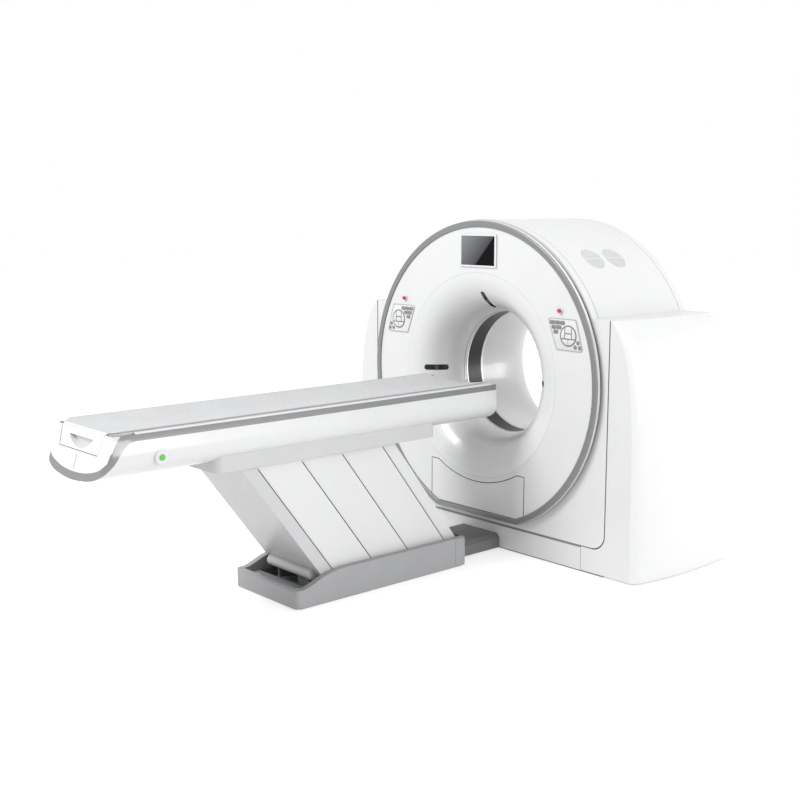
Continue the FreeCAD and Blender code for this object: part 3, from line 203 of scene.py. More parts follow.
def display_painted_reflection(low, high):
    """Off display between two corners: a painted reflection, grey above a slanting line and black below it.
    """
    made, tree, main = shader("display_painted_reflection")
    where = own_coordinates(tree)
    split = add(tree, "ShaderNodeSeparateXYZ")
    tree.links.new(where, split.inputs["Vector"])
    wide, tall = high.x - low.x, high.z - low.z
    shares = []
    for axis, size, start in (("X", wide, low.x), ("Z", tall, low.z)):
        share = add(tree, "ShaderNodeMath", operation="MULTIPLY_ADD")
        share.inputs[1].default_value, share.inputs[2].default_value = 1 / size, -start / size
        tree.links.new(split.outputs[axis], share.inputs[0])
        shares.append(share.outputs[0])
    # The slanting line and the grey above it are a painted reflection of the room on the switched-off
    # display.
    line = add(tree, "ShaderNodeMath", operation="MULTIPLY_ADD")
    line.inputs[1].default_value, line.inputs[2].default_value = 0.57, 0.43
    tree.links.new(shares[1], line.inputs[0])
    lit = add(tree, "ShaderNodeMath", operation="SUBTRACT")
    tree.links.new(line.outputs[0], lit.inputs[0])
    tree.links.new(shares[0], lit.inputs[1])
    ramp = add(tree, "ShaderNodeValToRGB")
    stops = ramp.color_ramp.elements
    stops[0].position, stops[0].color = 0.0, (0.003, 0.003, 0.004, 1)
    stops[1].position, stops[1].color = 1.0, (0.17, 0.175, 0.185, 1)
    for position, tone in ((0.005, 0.003), (0.025, 0.045)):
        stop = stops.new(position)
        stop.color = (tone, tone, tone * 1.04, 1)
    tree.links.new(lit.outputs[0], ramp.inputs["Fac"])
    tree.links.new(ramp.outputs["Color"], main.inputs["Base Color"])
    tree.links.new(between(tree, noise(tree, where, 40.0), 0.32, 0.4), main.inputs["Roughness"])
    main.inputs["Specular IOR Level"].default_value = 0.05
    return made


def green_lens(centre, radius):
    """Green plastic with a painted glow, brightest at its centre."""
    made, tree, main = shader("green_plastic")
    where = own_coordinates(tree)
    away = add(tree, "ShaderNodeVectorMath", operation="DISTANCE")
    away.inputs[1].default_value = centre
    tree.links.new(where, away.inputs[0])
    share = add(tree, "ShaderNodeMath", operation="DIVIDE")
    share.inputs[1].default_value = radius
    tree.links.new(away.outputs["Value"], share.inputs[0])
    # Painted glow: the colour is lighter towards the centre and also feeds a faint emission.
    glow = tones(tree, share.outputs[0], (0.20, 0.62, 0.06), (0.05, 0.34, 0.02), 0.2, 1.0)
    tree.links.new(glow, main.inputs["Base Color"])
    tree.links.new(glow, main.inputs["Emission Color"])
    main.inputs["Emission Strength"].default_value = 0.12
    tree.links.new(between(tree, noise(tree, where, 900.0), 0.18, 0.3), main.inputs["Roughness"])
    main.inputs["Coat Weight"].default_value = 0.6
    return made


screen_low, screen_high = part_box("display_screen")
button_low, button_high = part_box("green_button")
finishes["dark_glass"] = smoked_glass()
finishes["display_painted_reflection"] = display_painted_reflection(screen_low, screen_high)
finishes["green_plastic"] = green_lens((button_low + button_high) / 2, (button_high.z - button_low.z) / 2)
print("display is", round((screen_high.x - screen_low.x) * 1000), "mm wide")

# %% [markdown]
# ## Coated cradle board and pad cover
# The cradle is a carbon fibre shell under a white coat. The cloth underneath prints through very faintly,
# so two waves at right angles give a twill relief a few hundredths of a millimetre deep. The pad cover is
# wipe-clean vinyl: small round cells of leather grain, with a soft sheen.

# %% Carbon board and vinyl
def coated_carbon():
    made, tree, main = shader("carbon_board")
    where = own_coordinates(tree)
    tree.links.new(tones(tree, noise(tree, where, 9.0), (0.49, 0.492, 0.497), (0.52, 0.522, 0.527)),
                   main.inputs["Base Color"])
    cloth = []
    for direction in ("X", "Y"):
        wave = add(tree, "ShaderNodeTexWave", bands_direction=direction, Scale=80.0)
        tree.links.new(where, wave.inputs["Vector"])
        cloth.append(wave.outputs["Fac"])
    over = add(tree, "ShaderNodeMath", operation="MAXIMUM")
    tree.links.new(cloth[0], over.inputs[0])
    tree.links.new(cloth[1], over.inputs[1])
    tree.links.new(relief(tree, over.outputs[0], 0.00003), main.inputs["Normal"])
    tree.links.new(between(tree, noise(tree, where, 25.0), 0.25, 0.38), main.inputs["Roughness"])
    main.inputs["Coat Weight"].default_value = 0.4
    return made


def vinyl(name, dark, light):
    made, tree, main = shader(name)
    where = own_coordinates(tree)
    tree.links.new(tones(tree, noise(tree, where, 6.0, 5.0), dark, light), main.inputs["Base Color"])
    cells = add(tree, "ShaderNodeTexVoronoi", feature="SMOOTH_F1", Scale=520.0)
    tree.links.new(where, cells.inputs["Vector"])
    grain = relief(tree, cells.outputs["Distance"], 0.00012)
    tree.links.new(relief(tree, noise(tree, where, 14.0, 2.0), 0.0006, grain), main.inputs["Normal"])
    tree.links.new(between(tree, noise(tree, where, 40.0), 0.42, 0.58), main.inputs["Roughness"])
    main.inputs["Sheen Weight"].default_value = 0.12
    return made


finishes["carbon_board"] = coated_carbon()
finishes["pad_vinyl"] = vinyl("pad_vinyl", (0.315, 0.318, 0.323), (0.34, 0.343, 0.348))
print("all the finishes:", len(finishes))

# %% [markdown]
# ## Dress the frame
# Every part of the frame carries the name of its finish as its material, so a loop swaps each plain
# material for the finish of that name. The display has a finish of its own. The cable duct on the floor gets
# a darker grey than the base, and the saddle cover the darker column grey in place of the white shell: both
# are painted shade, for the gantry's shadow over the duct and the shade the saddle lies in.

# %% Give each part its finish
# The duct's darker grey and the saddle cover's column grey are painted shade.
own_finish = {"display_screen": "display_painted_reflection", "bridge_duct": "duct_painted_shade_grey", "saddle_cover": "column_grey"}
for name, part in nodes.items():
    for place in part.material_slots:
        place.material = finishes[own_finish.get(name, place.material.name.split(".")[0])]
print("dressed", len(nodes), "parts")

# %% [markdown]
# ## Making new pieces
# New pieces are written as mesh code: an outline, pushed back to give it thickness, with its front edge
# rolled over. A shared helper turns finished geometry into an object, smooths it except over sharp folds,
# and ties it to the body that carries it, so that it moves with the couch, the cradle or the gantry.

# %% From geometry to a piece that rides
def piece(name, made, finish, body, fold=35):
    """Turn finished mesh geometry into a named object that rides on a body."""
    bmesh.ops.recalc_face_normals(made, faces=made.faces)
    for face in made.faces:
        face.smooth = True
    mesh = bpy.data.meshes.new(name)
    made.to_mesh(mesh)
    made.free()
    mesh.set_sharp_from_angle(angle=radians(fold))
    mesh.materials.append(finish)
    thing = bpy.data.objects.new(name, mesh)
    bpy.context.scene.collection.objects.link(thing)
    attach(thing, body)
    return thing


def joined(made, low, high):
    """Faces between two closed rings of points."""
    for k in range(len(low)):
        j = (k + 1) % len(low)
        made.faces.new((low[k], low[j], high[j], high[k]))


def sheet(made, rows):
    """Faces over an open grid of points."""
    for a, b in zip(rows, rows[1:]):
        for i in range(len(a) - 1):
            made.faces.new((a[i], a[i + 1], b[i + 1], b[i]))


def closed_sheet(made, top, low):
    """Two sheets joined all round their edges."""
    edges = []
    for rows in (top, low):
        sheet(made, rows)
        edges.append(rows[0] + [r[-1] for r in rows[1:-1]] + rows[-1][::-1] + [r[0] for r in rows[-2:0:-1]])
    joined(made, *edges)


def circle(radius, steps):
    """Points round the origin."""
    return [Vector((cos(2 * pi * k / steps), sin(2 * pi * k / steps))) * radius for k in range(steps)]


def rounded(corners, radius, steps=5):
    """A convex outline with every corner turned into an arc."""
    points = []
    for i, corner in enumerate(corners):
        here = Vector(corner)
        before = (Vector(corners[i - 1]) - here).normalized()
        after = (Vector(corners[(i + 1) % len(corners)]) - here).normalized()
        half = acos(max(-1, min(1, before.dot(after)))) / 2
        middle = here + (before + after).normalized() * radius / sin(half)
        start = here + before * radius / tan(half) - middle
        turn = pi - 2 * half
        sign = 1 if before.x * after.y - before.y * after.x < 0 else -1
        for k in range(steps + 1):
            a = sign * turn * k / steps
            turned = (start.x * cos(a) - start.y * sin(a), start.x * sin(a) + start.y * cos(a))
            points.append(middle + Vector(turned))
    return points


def disc_outline(x, z, radius, steps=28):
    return [Vector((x, z)) + point for point in circle(radius, steps)]


def plate(made, outline, front, back, roll=0.0):
    """Add a flat plate that faces -y: an outline in x and z, with its front edge rolled over."""
    middle = sum(outline, Vector((0, 0))) / len(outline)
    rings = []
    for y, inset in ((back, 0.0), (front + roll, 0.0), (front + roll * 0.3, roll * 0.3), (front, roll)):
        ring = []
        for point in outline:
            inward = (middle - point).normalized() * inset
            ring.append(made.verts.new((point.x + inward.x, y, point.y + inward.y)))
        rings.append(ring)
    for low, high in zip(rings, rings[1:]):
        joined(made, low, high)
    made.faces.new(rings[0])
    made.faces.new(rings[-1])


def frame_plate(made, outer, inner, front, back):
    """Add a flat ring between two outlines with the same number of points."""
    corners = ((outer, front), (inner, front), (inner, back), (outer, back))
    rings = [[made.verts.new((p.x, y, p.y)) for p in outline] for outline, y in corners]
    for i in range(4):
        joined(made, rings[i - 1], rings[i])


# %% [markdown]
# ## Control panels
# Beside the opening, at hand height, sit two mirrored panels: a slanted plate with a thin frame, three
# rows of small keys, a round pad that steers the couch, and three round keys below it. They could be
# printed on the cover, but real panels are membrane plates with raised keys that catch the light, so each
# part is its own thin plate.

# %% Where things lie on a panel
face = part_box("control_panels")[1].y
panel_corners = ((0.532, 1.375), (0.731, 1.375), (0.782, 1.204), (0.597, 1.204))
dial_x, dial_z, dial_r = 0.680, 1.284, 0.057
key_half, key_corner = (0.0168, 0.0108), 0.006
key_rows = ((1.352, (0.566, 0.602, 0.638)), (1.327, (0.579, 0.615)), (1.302, (0.592,)))
round_keys, round_key_r = ((0.748, 1.252), (0.729, 1.227), (0.760, 1.226)), 0.0115
dial_arrows = ((0, 0.030, 90), (0, -0.003, 90), (-0.036, -0.002, 180), (0.036, -0.002, 0),
               (-0.018, -0.032, 135), (0.018, -0.032, 45))
symbol_tone = moulded("symbol_grey", (0.40, 0.40, 0.405), 0.05, (0.5, 0.6), 2000, 0.00003)
dial_grey = moulded("dial_grey", (0.13, 0.13, 0.135), 0.06, (0.45, 0.55), 2000, 0.00003)
frame_tone = moulded("panel_frame_grey", (0.30, 0.302, 0.307), 0.03, (0.4, 0.5), 1600, 0.00003)


def key_outline(x, z):
    """A rectangular key with rounded corners."""
    wide, tall = key_half
    corners = ((x - wide, z - tall), (x + wide, z - tall), (x + wide, z + tall), (x - wide, z + tall))
    return rounded(corners, key_corner)


def arrow(x, z, angle, size=0.0045):
    """A small triangle that points along an angle."""
    return [Vector((x + size * cos(angle + a), z + size * sin(angle + a))) for a in (0, 2.3, -2.3)]


def clipped_cell(x0, x1, z0, z1, rim):
    """The part of a rectangle that lies inside a circle about the origin, as an outline."""
    steps = 10
    corners = ((x0, z0), (x1, z0), (x1, z1), (x0, z1))
    outline = []
    for (xa, za), (xb, zb) in zip(corners, corners[1:] + corners[:1]):
        for k in range(steps):
            point = Vector((xa + (xb - xa) * k / steps, za + (zb - za) * k / steps))
            outline.append(point * min(1, rim / point.length if point.length else 1))
    return outline


# %% Both control panels
def control_panel(side, sign):
    """One panel; sign is 1 for the right one and -1 for the left one."""
    def part(name, shapes, proud, deep, roll, finish, slot):
        made = bmesh.new()
        for outline in shapes:
            plate(made, [Vector((sign * p[0], p[1])) for p in outline], face - proud, face - deep, roll)
        return piece(f"{name}_{side}", made, finish, "root")

    outer = [Vector((sign * p.x, p.y)) for p in rounded(panel_corners, 0.014)]
    base = part("panel_plate", [rounded(panel_corners, 0.014)], 0.0028, 0, 0.0008, finishes["white_shell"],
                "white_shell")
    made = bmesh.new()
    centre = sum(outer, Vector((0, 0))) / len(outer)
    inner = [p + (centre - p).normalized() * 0.007 for p in outer]
    frame_plate(made, outer, inner, face - 0.0034, face - 0.002)
    piece(f"panel_frame_{side}", made, frame_tone, "root")

    made = bmesh.new()
    keys = [(key_outline(x, z), 0.0012) for z, places in key_rows for x in places]
    keys += [(disc_outline(x, z, round_key_r), 0.0014) for x, z in round_keys]
    for shape, roll in keys:
        plate(made, [Vector((sign * p.x, p.y)) for p in shape], face - 0.0048, face - 0.0026, roll)
    piece(f"panel_keys_{side}", made, finishes["key_grey"], "root")

    part("steering_pad", [disc_outline(dial_x, dial_z, dial_r, 64)], 0.0040, 0.0026, 0.0006, dial_grey,
         "key_grey")
    rim, bar, upper, lower, column = dial_r - 0.0075, 0.0030, 0.012, -0.017, 0.0235
    cells = ((-column + bar, column - bar, upper + bar, rim),
             (-column + bar, column - bar, lower + bar, upper - bar),
             (-rim, -column - bar, lower + bar, rim), (column + bar, rim, lower + bar, rim),
             (-rim, -bar * 0.7, -rim, lower - bar), (bar * 0.7, rim, -rim, lower - bar))
    dial = Vector((dial_x, dial_z))
    part("steering_keys", [[dial + p for p in clipped_cell(*cell, rim)] for cell in cells],
         0.0050, 0.0036, 0.0008, finishes["white_shell"], "white_shell")
    part("steering_arrows", [[dial + p for p in arrow(x, z, radians(angle))] for x, z, angle in dial_arrows],
         0.0053, 0.0048, 0.0, symbol_tone, "key_grey")
    return base


for side, sign in (("right", 1), ("left", -1)):
    base = control_panel(side, sign)
    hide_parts("control_panels")
print("panels: 2 plates, 12 rounded keys and 6 round ones")

# %% [markdown]
# ## Laser lenses
# Positioning lasers shine through the dark windows in the funnel. Behind the glass sits a small round
# lens in a metal ring. The windows lie on a curved wall at different angles, so each lens is placed from
# the window itself: its middle, and the direction in which its faces look.

# %% A lens behind every laser window
lens_glass = smoked_glass()
lens_glass.name = "lens_glass"
lens_glass.node_tree.nodes["Principled BSDF"].inputs["Coat Weight"].default_value = 0.6


def islands(part):
    """The separate shells of a mesh, as lists of faces."""
    shape = bmesh.new()
    shape.from_mesh(part.data)
    bmesh.ops.remove_doubles(shape, verts=shape.verts, dist=1e-5)
    left, found = set(shape.faces), []
    while left:
        group, edge = [], [left.pop()]
        while edge:
            one = edge.pop()
            group.append(one)
            for side in one.edges:
                for other in side.link_faces:
                    if other in left:
                        left.remove(other)
                        edge.append(other)
        found.append(group)
    return shape, found


def turned_piece(made, profile, centre, axis, steps=40):
    """Add a turned form: (radius, height) points spun about an axis through a centre."""
    side = axis.orthogonal().normalized()
    other = axis.cross(side)
    rings = []
    for radius, height in profile:
        level = centre + axis * height
        rings.append([made.verts.new(level + side * p.x + other * p.y) for p in circle(radius, steps)])
    for low, high in zip(rings, rings[1:]):
        joined(made, low, high)
    made.faces.new(rings[0])
    made.faces.new(rings[-1])


scan_axis = Vector((0, 0, (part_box("scan_window")[0].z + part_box("scan_window")[1].z) / 2))
lens_ring = ((0.0100, 0), (0.0100, 0.0012), (0.0092, 0.0016), (0.0078, 0.0012), (0.0078, 0))
lens_dome = ((0.0077, 0), (0.0077, 0.0006), (0.006, 0.0013), (0.003, 0.0017), (0.0006, 0.0018))
lens_sunk = 0.0006
shape, windows = islands(nodes["laser_windows"])
rings, domes = bmesh.new(), bmesh.new()
for group in windows:
    area = sum(f.calc_area() for f in group)
    middle = sum((f.calc_center_median() * f.calc_area() for f in group), Vector()) / area
    inward = scan_axis - middle
    inward.y = 0
    facing = [f for f in group if f.normal.dot(inward.normalized() + Vector((0, -0.6, 0))) > 0.6]
    normal = sum((f.normal * f.calc_area() for f in facing), Vector()).normalized()
    top = max((f.calc_center_median() - middle).dot(normal) for f in facing)
    seat = middle + normal * (top - lens_sunk)
    turned_piece(rings, lens_ring, seat, normal)
    turned_piece(domes, lens_dome, seat, normal)
shape.free()
piece("laser_lens_rings", rings, finishes["frame_steel"], "root")
piece("laser_lenses", domes, lens_glass, "root")
print("lenses:", len(windows))

# %% [markdown]
# ## Cradle pad
# The patient lies on a thin foam mat in a vinyl cover. It follows the hollow of the cradle, rolls over at
# its edge, and is sewn round with a seam a finger's width inside a piped edge. Cloth simulation would
# suit a soft cushion, but a firm mat ten millimetres thick hardly puckers, so its thickness is worked out
# from the distance to its outline.

# %% The mat's outline and thickness
pad_low, pad_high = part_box("cradle_pad")
pad_half = pad_high.x
pad_corner, head_corner = 0.042, 0.006
pad_hollow = 0.022
pad_thick = 0.010
pad_front, pad_back = pad_low.y, pad_high.y
pad_radius = (pad_half ** 2 + pad_hollow ** 2) / (2 * pad_hollow)
print("mat:", round(pad_back - pad_front, 3), "m long and", round(2 * pad_half, 3), "m wide")


def pad_inside(x, y):
    """How far a point is inside the outline: rounded at the foot, nearly square at the other end."""
    radius = pad_corner if y < 0.5 * (pad_front + pad_back) else head_corner
    beyond_x = abs(x) - (pad_half - radius)
    beyond_y = max(pad_front + radius - y, y - (pad_back - radius))
    if beyond_x > 0 and beyond_y > 0:
        return radius - sqrt(beyond_x ** 2 + beyond_y ** 2)
    return min(pad_half - abs(x), y - pad_front, pad_back - y)


def pad_floor(x):
    """The hollow of the cradle under the mat."""
    return pad_high.z - pad_thick - pad_hollow + pad_radius - sqrt(pad_radius ** 2 - x ** 2)


def pad_height(inside):
    """The mat's thickness at a distance inside its outline: a rolled edge, a sewn seam and a slight crown."""
    roll = sqrt(1 - (1 - min(inside / 0.007, 1)) ** 2)
    seam = exp(-((inside - 0.016) / 0.0022) ** 2)
    crown = min(inside / 0.12, 1)
    return pad_thick * (0.50 + 0.40 * roll - 0.16 * seam + 0.10 * crown * roll)


# %% Build the mat
def edge_steps(span, fine):
    """Places from 0 to a span, closer together at both ends."""
    ends = [0, 0.0012, 0.003, 0.005, 0.007, 0.010, 0.013, 0.0148, 0.016, 0.0172, 0.019, 0.023, 0.03, 0.042]
    inner = [0.042 + (span - 0.084) * k / fine for k in range(1, fine)]
    return ends + inner + [span - e for e in reversed(ends)]


def cradle_mat():
    made = bmesh.new()
    rows_top, rows_low = [], []
    for along in edge_steps(pad_back - pad_front, 70):
        y = pad_front + along
        short = 0.0
        if along < pad_corner:
            short = pad_corner - sqrt(pad_corner ** 2 - (pad_corner - along) ** 2)
        half = pad_half - short
        top, low = [], []
        for across in edge_steps(2 * pad_half, 26):
            x = (across - pad_half) * half / pad_half
            top.append(made.verts.new((x, y, pad_floor(x) + pad_height(max(pad_inside(x, y), 0)))))
            low.append(made.verts.new((x, y, pad_floor(x) + 0.0003)))
        rows_top.append(top)
        rows_low.append(low)
    closed_sheet(made, rows_top, rows_low)
    return made


mat = piece("cradle_mat", cradle_mat(), finishes["pad_vinyl"], "cradle", 60)
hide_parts("cradle_pad")
print("mat:", len(mat.data.polygons), "faces")

# %% [markdown]
# ## Piping
# A cord of vinyl is sewn into the mat's edge. A thin tube that follows the outline half way up the side
# makes it, and it is what catches the light along the edge.

# %% Piping round the mat
def pipe(name, path, radius, finish, body, sides=8):
    """A closed tube along a list of points."""
    made = bmesh.new()
    rings = []
    for i, point in enumerate(path):
        ahead = (path[(i + 1) % len(path)] - path[i - 1]).normalized()
        side = ahead.cross(Vector((0, 0, 1))).normalized()
        up = side.cross(ahead)
        rings.append([made.verts.new(point + side * p.x + up * p.y) for p in circle(radius, sides)])
    for i in range(len(rings)):
        joined(made, rings[i - 1], rings[i])
    return piece(name, made, finish, body, 60)


def mat_outline():
    corners = [(-pad_half, pad_front), (pad_half, pad_front), (pad_half, pad_back), (-pad_half, pad_back)]
    front = rounded(corners, pad_corner, 12)[:26]
    back = rounded(corners, head_corner, 4)[10:]
    points, loop = [], front + back
    for i, here in enumerate(loop):
        ahead = loop[(i + 1) % len(loop)]
        steps = max(1, int((ahead - here).length / 0.03))
        points += [here.lerp(ahead, k / steps) for k in range(steps)]
    return [Vector((p.x, p.y, pad_floor(p.x) + pad_thick * 0.42)) for p in points]


piping = pipe("cradle_mat_piping", mat_outline(), 0.0022, finishes["pad_vinyl"], "cradle")
print("piping points:", len(piping.data.vertices) // 8)

# %% [markdown]
# ## Inlays laid on curved covers
# Grip strips and pin lines follow the curved hull of the couch. Cutting them into the cover would mean
# new surfaces, so each is laid on it instead: a small grid is projected onto the cover along a direction,
# lifted by a few tenths of a millimetre, and closed underneath. It then follows the cover exactly.

# %% A helper that lays a strip on a cover
def laid(name, cover, rows, direction, lift, finish, body):
    """Project a grid of points onto a cover along a direction and lift it into a thin closed strip."""
    tree = BVHTree.FromPolygons([v.co.copy() for v in nodes[cover].data.vertices],
                                [tuple(p.vertices) for p in nodes[cover].data.polygons])
    made = bmesh.new()
    top, low = [], []
    for row in rows:
        up_row, low_row = [], []
        for point in row:
            hit, normal = tree.ray_cast(Vector(point) - direction * 0.2, direction)[:2]
            if normal.dot(direction) > 0:
                normal = -normal
            up_row.append(made.verts.new(hit + normal * lift))
            low_row.append(made.verts.new(hit - normal * 0.0004))
        top.append(up_row)
        low.append(low_row)
    closed_sheet(made, top, low)
    return piece(name, made, finish, body)


# %% Grip strips beside the tail
strip_tone = moulded("grip_grey", (0.60, 0.602, 0.607), 0.03, (0.5, 0.6), 1800, 0.00008)
cap_low, cap_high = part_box("end_cap")
for side, sign in (("right", 1), ("left", -1)):
    rows = []
    for k in range(14):
        z = 0.889 + 0.066 * k / 13
        middle = sign * (0.202 + (z - 0.902) * 0.20)
        rows.append([(middle + sign * 0.018 * (j / 4 - 0.5), cap_low.y, z) for j in range(5)])
    laid(f"grip_strip_{side}", "end_cap", rows, Vector((0, 1, 0)), 0.0006, strip_tone, "table")
print("grip strips: 2, each of", len(rows), "rows")

# %% [markdown]
# ## Painted shade in the seams
# Where two covers meet, the gap holds a thin line of shade, and it is these dark lines that tell the
# eye how the machine comes apart. The gaps are already in the frame, but light creeps into them, so a strip
# of black laid in each gap paints the shade in. A ribbon with a rectangular section, carried along a path,
# lays the strip where it belongs: round the hatch, beside the front cover, over the round head and about
# the pull-out tail panel.

# %% A ribbon along a path
def ribbon(name, path, wide, thick, finish, body, closed=False):
    """A flat strip along (point, outward direction) pairs; the point lies on its outer face."""
    made = bmesh.new()
    rings = []
    for i, (point, out) in enumerate(path):
        ahead = path[(i + 1) % len(path)][0] if closed or i + 1 < len(path) else point
        behind = path[i - 1][0] if closed or i else point
        across = (ahead - behind).normalized().cross(out).normalized() * (wide / 2)
        inward = out * -thick
        corners = (point - across, point + across, point + across + inward, point - across + inward)
        rings.append([made.verts.new(corner) for corner in corners])
    for a, b in zip(rings, rings[1:]):
        joined(made, a, b)
    if closed:
        joined(made, rings[-1], rings[0])
    else:
        made.faces.new(rings[0])
        made.faces.new(rings[-1])
    return piece(name, made, finish, body)


# The black rubber finish also serves as painted shade in the gaps between covers.
rubber = finishes["black_rubber"]
forward = Vector((0, -1, 0))

# %% Painted shade round the service hatch
def spread(outline, step):
    """Points along a closed outline, no further apart than a step."""
    points = []
    for i, (x, z) in enumerate(outline):
        ahead = outline[(i + 1) % len(outline)]
        steps = max(1, int(sqrt((ahead[0] - x) ** 2 + (ahead[1] - z) ** 2) / step))
        points += [(x + (ahead[0] - x) * k / steps, z + (ahead[1] - z) * k / steps) for k in range(steps)]
    return points


hatch_low, hatch_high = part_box("service_hatch")
disc_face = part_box("front_disc")[0].y
hatch_arc = 0.625  # the hatch's upper edge goes round the funnel at this radius
arc_half = sqrt(hatch_arc ** 2 - (scan_axis.z - hatch_high.z) ** 2)
outline = [(hatch_high.x, hatch_high.z), (hatch_high.x, hatch_low.z)]
outline += [(hatch_low.x, hatch_low.z), (hatch_low.x, hatch_high.z)]
for k in range(25):
    x = -arc_half * cos(pi * k / 24)
    outline.append((x, scan_axis.z - sqrt(hatch_arc ** 2 - x ** 2)))
path = [(Vector((x, disc_face - 0.0004, z)), forward) for x, z in spread(outline, 0.05)]
# Painted shade: a black strip in the gap round the hatch.
ribbon("hatch_gap_painted_shade", path, 0.0045, 0.003, rubber, "root", True)
print("hatch seal:", len(path), "points")

# %% Painted shade beside and under the front cover
cover_low, cover_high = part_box("front_cover")
groove, shade_strip_corner, tower_top = 0.007, 0.083, 1.37
shade_strip_half, shade_strip_low = cover_high.x + groove / 2, 0.148 - groove / 2
turn = Vector((shade_strip_half - shade_strip_corner, shade_strip_low + shade_strip_corner))
half_path = [(shade_strip_half, tower_top - 0.05 * k) for k in range(23)]
half_path += [tuple(turn + Vector((cos(pi * k / 24), -sin(pi * k / 24))) * shade_strip_corner) for k in range(13)]
outline = half_path + [(-x, z) for x, z in half_path[::-1]]
path = [(Vector((x, cover_low.y + 0.006, z)), forward) for x, z in outline]
# Painted shade: a black strip in the groove beside and under the front cover.
ribbon("front_cover_gap_painted_shade", path, groove, 0.003, rubber, "root")
print("seal:", round(2 * shade_strip_half, 3), "m across the front cover")

# %% Seams of the round head
shell_low, shell_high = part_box("top_shell")
head_r = shell_high.z - scan_axis.z
for name, y in (("head_seam_front", shell_low.y - 0.0015), ("head_seam_rear", shell_high.y + 0.0015)):
    path = []
    for k in range(97):
        a = radians(27 + 126 * k / 96)
        out = Vector((cos(a), 0, sin(a)))
        path.append((Vector((0, y, scan_axis.z)) + out * (head_r - 0.0012), out))
    # The black strips over the round head's seams are painted shade in the gaps.
    ribbon(name, path, 0.004, 0.003, rubber, "root")
print("head radius:", round(head_r, 3), "m")

# %% [markdown]
# ## Foot end of the couch
# The foot end carries the pull-out tail panel. A dark gap runs round it, its shade painted in as a black
# strip, a moulding line runs down the middle of the cap below it, and a pale pin line follows the lower edge
# of the grey band. The lines that lie on curved covers use the laying helper; the gap lies in a plane that
# leans with the end.

# %% Gap round the tail panel
tail_low, tail_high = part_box("tail_handle")
end_slope = 0.323  # how far the end leans back, per unit of height
lean = Vector((0, -1, end_slope)).normalized()


def end_point(x, z, sunk=0.0):
    """A point on the leaning plane of the foot end."""
    return Vector((x, cap_low.y + end_slope * (z - cap_low.z) + sunk, z))


tail_half, tail_flare, gap_z = 0.177, 0.25, 0.900
edge = [(tail_half + 0.002 + tail_flare * (z - tail_low.z), z) for z in (0.985, 0.960, 0.935, 0.915, 0.9005)]
outline = edge + [(tail_half * (1 - k / 6), gap_z) for k in range(1, 12)] + [(-x, z) for x, z in edge[::-1]]
path = [(end_point(x, z, 0.0012), lean) for x, z in outline]
# The black strip round the tail panel is painted shade in its gap.
ribbon("tail_gap", path, 0.0042, 0.003, rubber, "table")
print("tail gap:", len(path), "points")

# %% Moulding line of the cap and pin lines of the band
rows = [[(0.0012 * (j - 1), cap_low.y, 0.886 - 0.0065 * k) for j in range(3)] for k in range(11)]
laid("cap_moulding_line", "end_cap", rows, Vector((0, 1, 0)), 0.0004, rubber, "table")
pin_tone = moulded("pin_line_grey", (0.30, 0.302, 0.307), 0.03, (0.4, 0.5), 1800, 0.00003)
band_low = 0.960
for side, sign in (("right", 1), ("left", -1)):
    inward = Vector((-sign, 0, 0))
    rows = [[(0, -2.66 + 0.045 * k, band_low - 0.0075 - 0.0012 * j) for j in range(3)] for k in range(49)]
    laid(f"pin_line_{side}", "couch_body", rows, inward, 0.0003, pin_tone, "table")
print("foot end leans", round(degrees(atan2(end_slope, 1)), 1), "degrees")

# %% [markdown]
# ## Rims of the scan window
# A polished rim stands on either side of the dark ring through which the rays pass. Each is a shallow
# band inside the opening: a profile of radius and place along the axis, turned about the axis of the
# opening.

# %% Two rims
made = bmesh.new()
bore_r, rim_proud, rim_edge = 0.360, 0.0012, 0.002
for start, end in ((-0.071, -0.0555), (0.0555, 0.071)):
    profile = ((start, bore_r), (start + rim_edge, bore_r - rim_proud), (end - rim_edge, bore_r - rim_proud),
               (end, bore_r))
    rings = []
    for y, radius in profile:
        rings.append([made.verts.new((p.x, y, scan_axis.z + p.y)) for p in circle(radius, 120)])
    for i in range(4):
        joined(made, rings[i - 1], rings[i])
piece("scan_window_rims", made, finishes["cast_aluminium"], "root")
print("rims: 2, radius", bore_r - rim_proud, "m inside")

# %% [markdown]
# ## Edges of the column's slats
# The column's side is made of slats that slide past each other as the couch rises. Each carries a rubber
# lip on its rear edge that wipes along the next one, and these lips are the dark slanting lines on the
# side. They follow the slat's edge, and each rides on its own slat.

# %% Rubber lips on the slats
column_front, column_lean, pivot_low = -1.659, 0.762, 0.130
lips = (("front_link", 0.083, 0.230), ("slat_1", 0.347, 0.225), ("slat_2", 0.603, 0.220),
        ("slat_3", 0.875, 0.215))
for body, offset, outer in lips:
    for side, sign in (("right", 1), ("left", -1)):
        path = []
        for k in range(12):
            z = 0.117 + 0.056 * k
            y = column_front - column_lean * (z - pivot_low) + offset + 0.0012
            path.append((Vector((sign * (outer + 0.0002), y, z)), Vector((sign, 0, 0))))
        ribbon(f"lip_{body}_{side}", path, 0.0045, 0.0040, rubber, body)
print("lips:", 2 * len(lips))

# %% [markdown]
# ## Small fittings
# Behind the slots of the two cooling grilles lies a black sheet, painted shade for the hollow inside the
# shell, so that the slots read dark. Screws hold the rear cover round the opening, and a round cap closes a
# screw well in the base. They are turned forms and one curved patch, cheap to make in code, and they give
# the large plain covers their scale.

# %% Painted shade behind the grilles
made = bmesh.new()
tilt, shade_sheet_r, shade_sheet_sunk = radians(90 - 40.3), 0.075, 0.0062


def under_shell(angle, y):
    """A point just under the round shell."""
    return scan_axis + Vector((cos(angle), 0, sin(angle))) * (head_r - shade_sheet_sunk) + Vector((0, y, 0))


